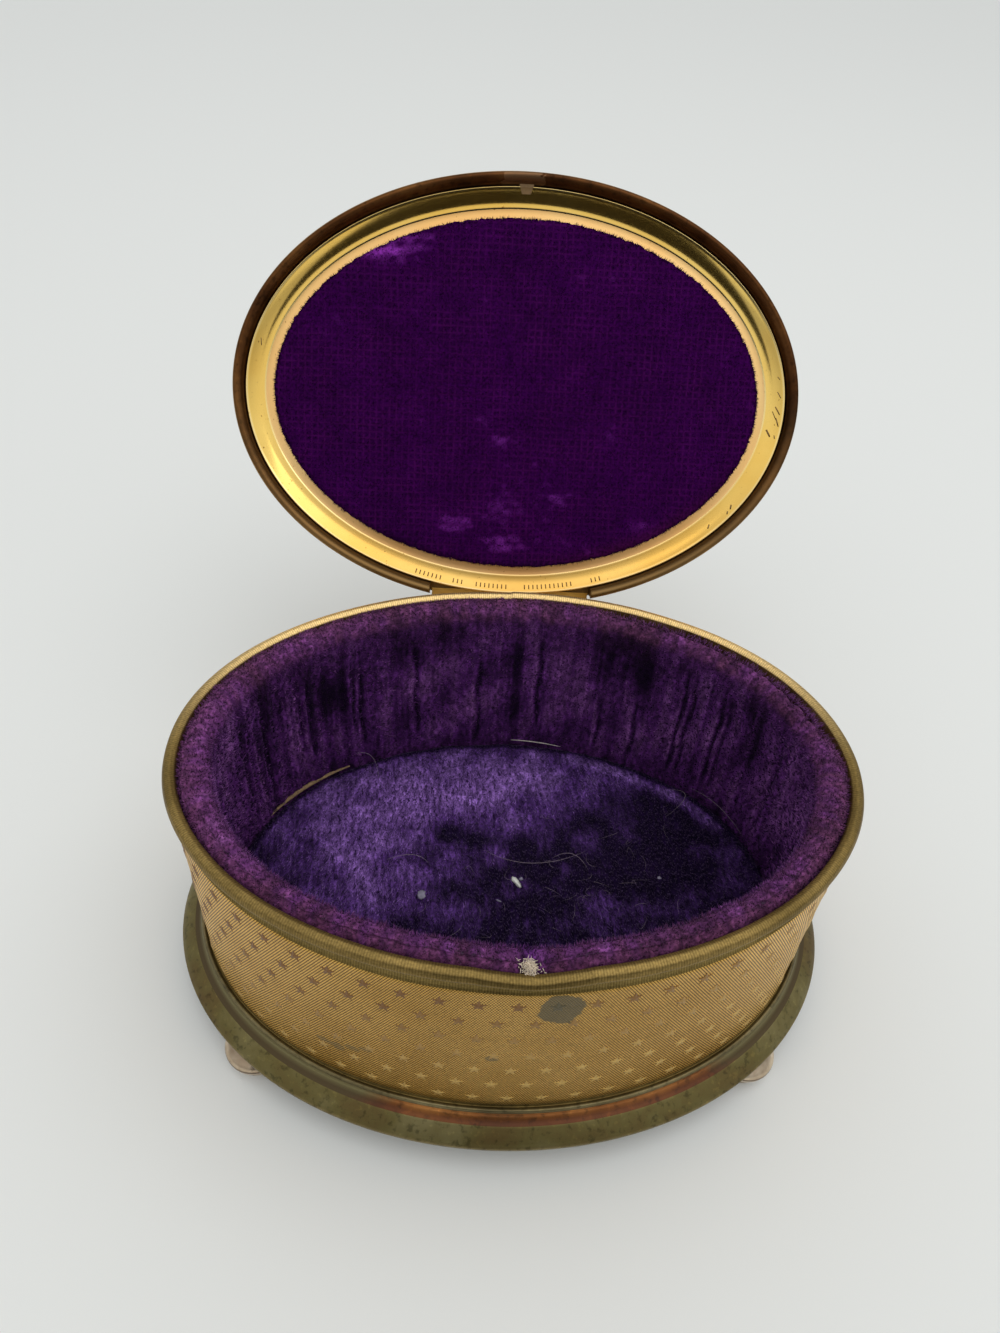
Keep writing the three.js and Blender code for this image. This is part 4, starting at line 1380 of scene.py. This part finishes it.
def skirt_metal():
    """Red-brown inside of the skirt, darkened as painted shade in its recess, tan near the hinge, with a
    worn mark opposite it.
    """
    # The dark red-brown is partly the metal's patina, partly painted shade in the skirt's recess
    shader = patina("lid_inside", srgb(58, 30, 12), srgb(92, 56, 26), srgb(122, 80, 40), 0.4, 0.9)
    low = shader.ramp(lid_share(shader), (0.02, 0.85), (0.3, 0.35), (0.55, 0.0))
    old = shader.bsdf.inputs["Base Color"].links[0].from_socket
    colour = shader.mix(low, old, srgb(132, 104, 62))
    middle = open_lid(np.array([WEAR_MARK]))[0]
    centre = [float(value) * MM for value in middle]
    inside = shader.spot(shader.place(), centre, [WEAR_HALF * MM] * 3)
    noise = shader.noise(shader.place(), 500, 3)
    rough_edge = shader.math("ADD", inside, shader.math("MULTIPLY", noise, 1.5))
    worn = shader.ramp(rough_edge, (0.95, 0.0), (1.9, 0.4))
    shader.link(shader.mix(worn, colour, srgb(158, 122, 88)), "Base Color")
    return shader.material


def lid_ground():
    """The lid's outer dome: the band's hatched ground without its stars."""
    shader = Shader("lid_ground", 0.46, 1.0)
    height = hatch(shader, shader.place())
    broad = shader.noise(shader.place(), 45, 4)
    gold = shader.ramp(broad, (0.30, srgb(150, 122, 62)), (0.7, srgb(186, 152, 82)))
    # Painted shade in the hatch's grooves, on the lines the light picks out
    groove_shade = shader.ramp(height, (0.10, srgb(120, 100, 80)), (0.70, WHITE))
    shader.link(shader.mix(0.9, gold, groove_shade, "MULTIPLY"), "Base Color")
    shader.link(shader.bump(height, 0.00008, 0.8), "Normal")
    return shader.material


def block_object(name, x_range, y_range, z_range, lid):
    corners = np.array([(x, y, z) for x in x_range for y in y_range for z in z_range], float)
    if lid:
        corners = open_lid(corners)
    faces = [[0, 1, 3, 2], [4, 6, 7, 5], [0, 4, 5, 1], [2, 3, 7, 6], [0, 2, 6, 4], [1, 5, 7, 3]]
    mesh = bpy.data.meshes.new(name)
    mesh.from_pydata((corners * MM).tolist(), [], faces)
    piece = bpy.data.objects.new(name, mesh)
    bpy.context.scene.collection.objects.link(piece)
    return piece


def cut_hinge_opening(shell):
    half = HINGE_WIDTH / 2 + TURN_GAP
    bridge_top = LID_PLANE + LINER_RECESS + LINER_SHEET + BRIDGE_RISE + LEAF_SHEET
    y_centre = CENTRE_Y
    cutter = block_object("cutter", (-half, half),
                          (y_centre + LID.half_depth * 0.7, y_centre + LID.half_depth + 2),
                          (LID_PLANE - 1, bridge_top + TURN_GAP), True)
    apply_boolean(shell, cutter, "DIFFERENCE")


def apply_boolean(piece, cutter, operation):
    modifier = piece.modifiers.new("cut", "BOOLEAN")
    modifier.object = cutter
    modifier.operation = operation
    modifier.solver = "EXACT"
    depsgraph = bpy.context.evaluated_depsgraph_get()
    result = bpy.data.meshes.new_from_object(piece.evaluated_get(depsgraph))
    piece.modifiers.clear()
    piece.data = result
    bpy.data.objects.remove(cutter)


def liner_section():
    lip = LID_PLANE + LINER_RECESS
    cove_in = -LINER_INSET - LINER_COVE_WIDTH
    deep = lip + LINER_COVE_DEPTH
    step_top = deep - LINER_STEP
    front_flat = [(LID_AXIS, deep), (cove_in - LINER_BAND_WIDTH, deep), (cove_in - 0.25, deep)]
    step = [(cove_in - 0.2, deep - 0.02), (cove_in - 0.1, step_top + 0.02), (cove_in, step_top)]
    cove = []
    for share in np.linspace(0, 1, 14):
        reach = cove_in + 0.12 + (LINER_COVE_WIDTH - 0.5) * share
        cove.append((reach, lip + 0.1 + (LINER_COVE_DEPTH - 0.22) * (1 - share ** 1.7)))
    lip_edge = [(-LINER_INSET - 0.3, lip + 0.08), (-LINER_INSET - 0.2, lip),
                (-LINER_INSET - 0.05, lip), (-LINER_INSET, lip + 0.1)]
    back = [(-LINER_INSET, lip + LINER_SHEET),
            (cove_in + LINER_COVE_WIDTH * 0.45, lip + LINER_COVE_DEPTH * 0.72 + LINER_SHEET),
            (cove_in, deep + LINER_SHEET), (LID_AXIS, deep + LINER_SHEET)]
    return front_flat, step, cove, lip_edge, back


def make_lid_liner():
    front_flat, step, cove, lip_edge, back = liner_section()
    parts = [(front_flat, 1), (step, 2), (cove, 0), (lip_edge, 2), (back, 3)]
    section, zones = zoned_section(parts, 1.5)
    turns, _ = LID.even_turns(LINER_SIDES, 0)
    materials = [
        liner_gilt("liner_cove", srgb(248, 200, 98), srgb(254, 216, 120), 0.14),
        liner_gilt("liner_flat", srgb(255, 200, 124), srgb(255, 212, 142), 0.3),
        liner_gilt("liner_edge", srgb(250, 214, 132), srgb(255, 228, 156), 0.14),
        plain_gilt("liner_back", srgb(140, 110, 60), srgb(170, 140, 80), 0.5),
    ]
    liner = sweep("lid_liner_pan", LID, section, turns, materials, "lid", zones,
                  lid=True)
    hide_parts("lid_liner")
    return liner


def make_lid_panel():
    edge = -LINER_INSET - LINER_COVE_WIDTH - LINER_BAND_WIDTH
    back = LID_PLANE + LINER_RECESS + LINER_COVE_DEPTH - SEAT_GAP * 0.4
    front = back - PANEL_THICKNESS
    section = [(LID_AXIS, front - PANEL_CROWN), (LID_AXIS + 0.3, front - PANEL_CROWN),
               (LID_AXIS * 0.6, front - PANEL_CROWN * 0.8), (edge - 0.8, front),
               (edge - 0.15, front + 0.2), (edge, front + 0.5), (edge, back), (LID_AXIS, back)]
    section = [section[0]] + refine(section[1:-1], 0.45) + [section[-1]]
    turns, _ = LID.even_turns(LINER_SIDES, edge)
    pile = np.random.default_rng(8)
    jag = pile.normal(0, 0.08, len(turns))

    def warp(turn, reach, height):
        x, y = LID.point(turn, reach)
        at_edge = np.clip(1 - (edge - reach) / 0.9, 0, 1)
        on_front = height < front + 0.3
        weave = 0.05 * np.sin(TAU * x / WEAVE_PITCH) + 0.05 * np.sin(TAU * y / WEAVE_PITCH)
        soft = 0.10 * plane_noise(x, y, 8, 0.02, 0.08, 31)
        nap = pile.normal(0, 0.035, turn.shape)
        lift = np.where(on_front, weave + soft * (1 - at_edge) + nap, 0)
        lift = lift * np.clip((reach - LID_AXIS) / 5, 0, 1)
        rough_edge = jag[:, None] * at_edge
        return reach + rough_edge, height + lift

    shader = velvet("panel_velvet", srgb(26, 0, 36), srgb(48, 0, 64), srgb(138, 50, 165),
                    srgb(64, 14, 52), 0.0, (0.5, 0.15, 0.7))
    shader.set(Specular_IOR_Level=0.03)
    panel_weave(shader)
    panel = sweep("lid_velvet", LID, section, turns, [shader.material], "lid",
                  warp=warp, lid=True, nap=panel_nap)
    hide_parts("lid_panel")
    faces_out = open_lid(np.array([[0.0, 0, -1.0]])) - open_lid(np.array([[0.0, 0, 0]]))

    def on_front(centres, normals):
        return normals @ faces_out[0] > 0.6

    lay_pile("lid_pile", panel, LID_FIBRES, on_front, (0, 0, -0.25), 0.45, 0.085,
             shader.material, 54)
    make_panel_edge(edge, front, shader.material)
    return panel


def make_panel_edge(edge, front, material):
    """The cut edge's ends of pile, standing out over the gilt band."""
    random = np.random.default_rng(55)
    count = 5000
    turn = random.uniform(0, TAU, count)
    reach = edge + random.uniform(-0.6, -0.1, count)
    x, y = LID.point(turn, reach)
    out_x, out_y = LID.point(turn, reach + 0.1)
    outwards = unit(np.stack([out_x - x, out_y - y, 0 * x], 1))
    roots = np.stack([x, y, front + random.uniform(0.05, 0.4, count)], 1)
    directions = unit(outwards + random.normal(0, 0.3, roots.shape))
    tips = open_lid(roots + directions)
    roots = open_lid(roots)
    lengths = random.uniform(0.2, 0.65, count)
    ones = np.ones(count)
    tone = random.uniform(0.05, 0.4, count)
    return make_pile("lid_edge_pile", roots, unit(tips - roots), lengths, 0.07, tone, 0 * ones,
                     material, "lid", 56)


# Raised nap on the lid's panel: x, y of the closed lid from the middle, half sizes, strength
NAP_PATCHES = ((-24.0, -23.6, 4.6, 1.8, 0.6), (-18, -25.6, 4, 1.2, 0.25), (-10.4, 22.5, 3.0, 1.8, 0.36),
               (-1.5, 25.7, 4, 1.5, 0.32), (-3, 7.3, 3, 1.4, 0.22), (-6.6, 4.0, 2.5, 1.6, 0.2),
               (8.4, 17.5, 3.5, 1.5, 0.25), (16, 26.5, 4, 1.4, 0.25), (3, 13, 7, 4, 0.12),
               (-3, 20, 7, 3, 0.2), (24, 22, 3, 1.6, 0.15))


def panel_nap(turn, reach, height):
    x, y = LID.point(turn, reach)
    y = y - CENTRE_Y
    broad = 0.05 * plane_noise(x, y, 12, 0.03, 0.12, 81)
    tone = 0.36 + broad + 0.04 * plane_noise(x, y, 12, 0.2, 0.5, 82)
    for across, back, half_x, half_y, change in NAP_PATCHES:
        rough = 1 + 0.5 * plane_noise(x, y, 8, 0.3, 0.8, 83)
        tone = tone + 0.75 * change * bell(x, across, half_x) * bell(y, back, half_y) * rough
    edge_dark = rise(reach, -10, -7)
    tone = tone - 0.14 * edge_dark * rise(y, -5, 20)
    return np.clip(tone, 0.02, 1.0), 0.5 * edge_dark * rise(y, 5, 25) * rise(x, 0, 20)


WEAVE_PITCH = 1.15


def panel_weave(shader):
    """The woven backing that shows through thin pile, as a faint square grid of lighter lines."""
    place = shader.place()
    along = shader.split(place)[0]
    slant = lid_slant(shader)
    wobble = shader.math("MULTIPLY", shader.noise(place, 120, 2), 0.0006)
    lines = []
    for coordinate in (along, slant):
        shifted = shader.math("ADD", coordinate, wobble)
        phase = shader.math("DIVIDE", shifted, WEAVE_PITCH * MM)
        lines.append(shader.math("POWER", shader.math("MULTIPLY",
                     shader.math("PINGPONG", phase, 0.5), 2.0), 3.0))
    grid = shader.math("MAXIMUM", lines[0], lines[1])
    thin = shader.noise(place, 200, 3)
    strength = shader.math("MULTIPLY", grid, shader.ramp(thin, (0.3, 0.04), (0.7, 0.36)))
    old = shader.bsdf.inputs["Base Color"].links[0].from_socket
    shader.link(shader.mix(strength, old, srgb(96, 20, 104)), "Base Color")


# Hinge

def make_hinge():
    metal = plain_gilt("hinge_gilt", srgb(196, 158, 82), srgb(222, 186, 108), 0.34)
    for name in ("hinge_body_leaf", "hinge_pin", "hinge_lid_leaf"):
        node = frame["nodes"][name]
        node.data.materials.clear()
        node.data.materials.append(metal)


# Small things: card edge, lint, hairs, stamped strokes, scratches, solder tab

def oriented(piece_points, faces):
    if signed_volume(piece_points, faces) < 0:
        return [face[::-1] for face in faces]
    return faces


def tube_mesh(path, radius, sides=5):
    """A closed thin tube along a path of points, tapering at both ends."""
    path = np.asarray(path, float)
    forward = unit(np.gradient(path, axis=0))
    side = unit(np.cross(forward, (0.3, 0.2, 0.93)))
    other = np.cross(forward, side)
    count = len(path)
    taper = np.minimum(1, 0.35 + 2 * np.minimum(np.linspace(0, 1, count), np.linspace(1, 0, count)))
    angles = TAU * np.arange(sides) / sides
    cos_rings = np.cos(angles)[None, :, None] * side[:, None]
    sin_rings = np.sin(angles)[None, :, None] * other[:, None]
    rings = path[:, None] + radius * taper[:, None, None] * (cos_rings + sin_rings)
    points = rings.reshape(-1, 3)
    faces = [list(range(sides)), [(count - 1) * sides + k for k in range(sides)][::-1]]
    for row in range(count - 1):
        for k in range(sides):
            here, there = row * sides + k, row * sides + (k + 1) % sides
            faces.append([here, here + sides, there + sides, there])
    return points, oriented(points, faces)


def join_meshes(parts):
    points, faces, start = [], [], 0
    for part_points, part_faces in parts:
        points.append(part_points)
        faces += [[start + index for index in face] for face in part_faces]
        start += len(part_points)
    return np.concatenate(points), faces


def bend(start, middle, end, steps=14):
    """Points of a curve from start to end that leans towards middle."""
    t = np.linspace(0, 1, steps)[:, None]
    start, middle, end = (np.array(p, float) for p in (start, middle, end))
    return (1 - t) ** 2 * start + 2 * t * (1 - t) * middle + t ** 2 * end


# Hairs: start, middle and end, from the middle of the box, on the height above the ground
HAIRS = (((-31, 22.5, 16.6), (-24, 27, 19.5), (-23, 19.5, 16.2)),
         ((-33, -7, 17.5), (-34, -9, 21), (-31.5, -10.5, 22)),
         ((-3.5, -13.5, 16.4), (-5, -15.5, 20), (-2.5, -18.5, 22.5)),
         ((29, 12.5, 16.4), (36, 17, 19), (30, 18.5, 16.6)),
         ((34, 18.5, 17.2), (39, 15.5, 17.8), (42, 8.5, 16.5)),
         ((-4, 31.0, 16.2), (1, 31.6, 16.8), (9, 30.6, 15.8)),
         ((8, 3.0, 16.4), (12, 5.5, 17.2), (14, 1.0, 16.3)),
         ((-20, 2.0, 16.4), (-15, 4.0, 17.0), (-13, 1.5, 16.3)),
         ((-3.6, 4.3, 16.5), (4, -1, 17), (13.8, 4.5, 16.5)))
HAIR_RADIUS = 0.04
FUZZ_COUNT = 40


def fuzz():
    """Short stray fibres, most of them on the right."""
    random = np.random.default_rng(16)
    strays = []
    for _ in range(FUZZ_COUNT):
        middle = random.normal((14, -3), (13, 7))
        ends = random.normal(0, 1.3, (2, 2))
        points = [(*(middle + ends[0]), 16.4), (*(middle + random.normal(0, 1.2, 2)), 17.0),
                  (*(middle + ends[1]), 16.5)]
        strays.append(tube_mesh(bend(*points, steps=6) + (0, CENTRE_Y, 0), 0.022, 3))
    return strays


def floor_bit(name, parts, material):
    """Joins parts that lie on the floor into one piece."""
    points, faces = join_meshes(parts)
    return mesh_object(name, points, faces, [material], "box")


def make_hairs():
    parts = [tube_mesh(bend(*hair) + (0, CENTRE_Y, 0), HAIR_RADIUS) for hair in HAIRS] + fuzz()
    floor_bit("lint_hairs", parts, plain("hair", srgb(150, 132, 145), 0.6))


# Bits of lint on the floor: place from the middle of the box, half sizes and turn in degrees
LINT = (((1.8, -2.1, 16.7), (0.45, 1.15, 0.25), 35), ((-13.7, -4.8, 16.6), (0.8, 0.9, 0.2), 10),
        ((-1.2, -5.6, 16.6), (0.5, 0.15, 0.15), -20), ((2.6, -1.5, 16.8), (0.3, 0.35, 0.15), 0),
        ((26.0, -0.5, 16.6), (0.35, 0.3, 0.1), 0))


def make_lint():
    random = np.random.default_rng(14)
    parts = []
    for place, size, degrees in LINT:
        rings, sides = 7, 10
        points = []
        for ring in range(1, rings):
            polar = math.pi * ring / rings
            for k in range(sides):
                angle = TAU * k / sides
                bulge = random.uniform(0.55, 1.35)
                points.append((math.sin(polar) * math.cos(angle) * bulge,
                               math.sin(polar) * math.sin(angle) * bulge, math.cos(polar)))
        points += [(0, 0, 1), (0, 0, -1)]
        faces = []
        top, bottom = len(points) - 2, len(points) - 1
        for k in range(sides):
            follow = (k + 1) % sides
            faces.append([top, k, follow])
            faces.append([bottom, (rings - 2) * sides + follow, (rings - 2) * sides + k])
            for ring in range(rings - 2):
                here, below = ring * sides, (ring + 1) * sides
                faces.append([here + k, below + k, below + follow, here + follow])
        points = np.array(points) * size
        cos, sin = math.cos(math.radians(degrees)), math.sin(math.radians(degrees))
        points = points @ np.array([[cos, sin, 0], [-sin, cos, 0], [0, 0, 1]])
        points = points + place + (0, CENTRE_Y, 0)
        parts.append((points, oriented(points, faces)))
    floor_bit("lint_white", parts[:1], plain("lint_white", srgb(226, 226, 216), 0.9))
    floor_bit("lint_grey", parts[1:], plain("lint_grey", srgb(140, 134, 152), 0.9))


CARD_FROM = 247
CARD_TO = 219
CARD_WIDTH = 0.42
THREAD_START = (0.3, 30.6)
THREAD_LENGTH = 10.6
THREAD_SAG = 1.4
THREAD_RADIUS = 0.11


def make_card_edge():
    """A sliver of the floor's card that shows between pad and wall at the back on the left."""
    inner = -WALL_INSET_TOP - WALL - 2 * SEAT_GAP - LINING_THICKNESS
    path = []
    for degrees in np.linspace(CARD_TO, CARD_FROM, 30):
        x, y = RIM.point(np.radians(degrees), inner + 0.1)
        lift = 0.3 * math.sin(math.radians((degrees - CARD_TO) * 180 / (CARD_FROM - CARD_TO)))
        path.append((float(x), float(y), PAD_HIGH[2] - 0.2 + lift))
    left, back = THREAD_START
    thread = [(left + THREAD_LENGTH * share, back - THREAD_SAG * share * share + CENTRE_Y,
               PAD_HIGH[2] + 0.35) for share in np.linspace(0, 1, 14)]
    parts = [tube_mesh(path, CARD_WIDTH, 6), tube_mesh(thread, THREAD_RADIUS, 5)]
    floor_bit("card_edge", parts[:1], plain("card", srgb(168, 138, 100), 0.85))
    floor_bit("card_thread", parts[1:], plain("thread", srgb(225, 215, 205), 0.85))


def cove_height(reach):
    """Height of the liner's cove at a reach, as its section has it."""
    lip = LID_PLANE + LINER_RECESS
    cove_in = -LINER_INSET - LINER_COVE_WIDTH
    share = np.clip((reach - cove_in - 0.12) / (LINER_COVE_WIDTH - 0.5), 0, 1)
    return lip + 0.1 + (LINER_COVE_DEPTH - 0.22) * (1 - share ** 1.7)


def cove_stroke(start, end, width, proud=0.03, sunk=0.15):
    """A thin flat bar along the cove between two places given as turn in degrees and reach."""
    (turn_a, reach_a), (turn_b, reach_b) = start, end
    places = []
    for degrees, reach in ((turn_a, reach_a), (turn_b, reach_b)):
        x, y = LID.point(np.radians(degrees), reach)
        places.append(np.array([float(x), float(y), float(cove_height(reach))]))
    along = unit(places[1] - places[0])
    side = unit(np.cross(along, (0, 0, 1.0))) * width / 2
    corners = [places[0] - side, places[0] + side, places[1] + side, places[1] - side]
    over = [corner - (0, 0, proud) for corner in corners]
    under = [corner + (0, 0, sunk) for corner in corners]
    points = open_lid(np.array(over + under))
    faces = [[0, 1, 2, 3], [7, 6, 5, 4], [0, 4, 5, 1], [1, 5, 6, 2], [2, 6, 7, 3], [3, 7, 4, 0]]
    return points, oriented(points, faces)


# Stamped marks along the bottom of the cove: first and last turn of each row
STROKE_ROWS = ((201.5, 195.5), (192.8, 190.6), (187.6, 180.2), (176.8, 166.2), (161.6, 159.6))
STROKE_STEP = 0.95
STROKE_LOW = -3.5
STROKE_HIGH = -2.75
STROKE_WIDTH = 0.2


def make_strokes():
    """Rows of shallow upright strokes, all alike."""
    parts = []
    for first, last in STROKE_ROWS:
        for turn in np.arange(first, last, -STROKE_STEP):
            parts.append(cove_stroke((turn, STROKE_LOW), (turn, STROKE_HIGH), STROKE_WIDTH))
    points, faces = join_meshes(parts)
    return mesh_object("liner_strokes", points, faces, [plain("stroke", srgb(138, 98, 46), 0.5)],
                       "lid")


# Scratches and specks on the cove: two places, each a turn and a reach, and a width
SCRATCHES = (((84.5, -3.2), (86.5, -2.7), 0.14), ((89, -3.5), (91.5, -2.7), 0.2),
             ((90.5, -3.9), (93.0, -3.2), 0.14), ((92.5, -3.2), (95.0, -2.6), 0.24),
             ((96.5, -4.4), (98.5, -3.5), 0.3), ((97.8, -2.9), (98.8, -2.7), 0.2),
             ((80.0, -3.0), (81.0, -2.7), 0.14), ((121.5, -3.3), (122.6, -2.9), 0.35),
             ((123.5, -3.0), (124.2, -2.7), 0.3), ((129.5, -3.4), (130.5, -3.0), 0.3),
             ((283, -3.6), (285, -3.2), 0.14))


def make_scratches():
    points, faces = join_meshes([cove_stroke(*scratch) for scratch in SCRATCHES])
    return mesh_object("liner_scratches", points, faces, [plain("scratch", srgb(130, 96, 44), 0.5)],
                       "lid")


TAB_OUTER_HALF = 1.25
TAB_INNER_HALF = 0.75
TAB_REACHES = np.linspace(-1.75, -3.15, 9)
TAB_THICKNESS = 0.14


def make_tab():
    """A small soldered tab that laps over the liner's lip at the front of the lid."""
    points, faces = [], []
    for reach in TAB_REACHES:
        share = (reach - TAB_REACHES[0]) / (TAB_REACHES[-1] - TAB_REACHES[0])
        half = TAB_OUTER_HALF + (TAB_INNER_HALF - TAB_OUTER_HALF) * share
        on_lip = reach > -LINER_INSET - 0.3
        base = LID_PLANE + LINER_RECESS - 0.05 if on_lip else float(cove_height(reach))
        _, y = LID.point(0.0, reach)
        for x, z in ((-half, base + 0.1), (half, base + 0.1), (half, base - TAB_THICKNESS),
                     (-half, base - TAB_THICKNESS)):
            points.append((x, float(y), z))
    rows = len(TAB_REACHES)
    faces += [[0, 1, 2, 3], [4 * rows - k for k in (1, 2, 3, 4)]]
    for row in range(rows - 1):
        for k in range(4):
            here, there = 4 * row + k, 4 * row + (k + 1) % 4
            faces.append([here, there, there + 4, here + 4])
    points = open_lid(np.array(points, float))
    return mesh_object("liner_tab", points, oriented(points, faces),
                       [plain("solder", srgb(138, 108, 68), 0.6)], "lid", smooth=False)


# Floor and light

def make_stage():
    mesh = bpy.data.meshes.new("floor")
    reach = 3.0
    corners = [(-reach, -reach, 0), (reach, -reach, 0), (reach, reach, 0), (-reach, reach, 0)]
    mesh.from_pydata(corners, [], [(0, 1, 2, 3)])
    floor = bpy.data.objects.new("floor", mesh)
    bpy.context.scene.collection.objects.link(floor)
    shader = Shader("floor_paper", 0.8)
    shader.set(Base_Color=(*srgb(232, 233, 230), 1), Specular_IOR_Level=0.2)
    mesh.materials.append(shader.material)
    make_room()
    add_area("window", (0.18, -0.08, 0.82), (0, 0, 0.03), 0.7, 1.5)
    add_flag()


ROOM_LOW = 0.46
ROOM_HIGH = 0.88


def add_flag():
    """A dark card in front of the box, seen only in reflections."""
    half, behind, high = 0.07, -0.2, 0.2
    mesh = bpy.data.meshes.new("flag")
    corners = [(-half, behind, 0), (half, behind, 0), (half, behind, high), (-half, behind, high)]
    mesh.from_pydata(corners, [], [(0, 1, 2, 3)])
    flag = bpy.data.objects.new("flag", mesh)
    bpy.context.scene.collection.objects.link(flag)
    shader = Shader("flag_cloth", 0.9)
    shader.set(Base_Color=(*srgb(30, 26, 20), 1))
    mesh.materials.append(shader.material)
    flag.visible_camera = False
    flag.visible_diffuse = False
    flag.visible_shadow = False


def make_room():
    """A pale room: bright overhead and darker low down."""
    world = bpy.data.worlds.new("studio")
    world.use_nodes = True
    tree = world.node_tree
    direction = tree.nodes.new("ShaderNodeTexCoord").outputs["Generated"]
    split = tree.nodes.new("ShaderNodeSeparateXYZ")
    tree.links.new(direction, split.inputs[0])
    height = tree.nodes.new("ShaderNodeMapRange")
    height.inputs["From Min"].default_value = 0.15
    height.inputs["From Max"].default_value = 0.65
    height.inputs["To Min"].default_value = ROOM_LOW
    height.inputs["To Max"].default_value = ROOM_HIGH
    tree.links.new(split.outputs["Z"], height.inputs["Value"])
    background = tree.nodes["Background"]
    background.inputs["Color"].default_value = (*srgb(252, 254, 255), 1)
    tree.links.new(height.outputs["Result"], background.inputs["Strength"])
    bpy.context.scene.world = world


def add_area(name, place, target, size, watts):
    data = bpy.data.lights.new(name, "AREA")
    data.shape = "SQUARE"
    data.size = size
    data.energy = watts
    light = bpy.data.objects.new(name, data)
    bpy.context.scene.collection.objects.link(light)
    light.location = place
    direction = Vector(target) - Vector(place)
    light.rotation_euler = direction.to_track_quat("-Z", "Y").to_euler()


make_band()
make_stars()
make_base()
make_feet()
make_lining()
make_floor_pad()
make_lid_shell()
make_lid_liner()
make_lid_panel()
make_hinge()
make_hairs()
make_lint()
make_card_edge()
make_strokes()
make_scratches()
make_tab()
make_stage()
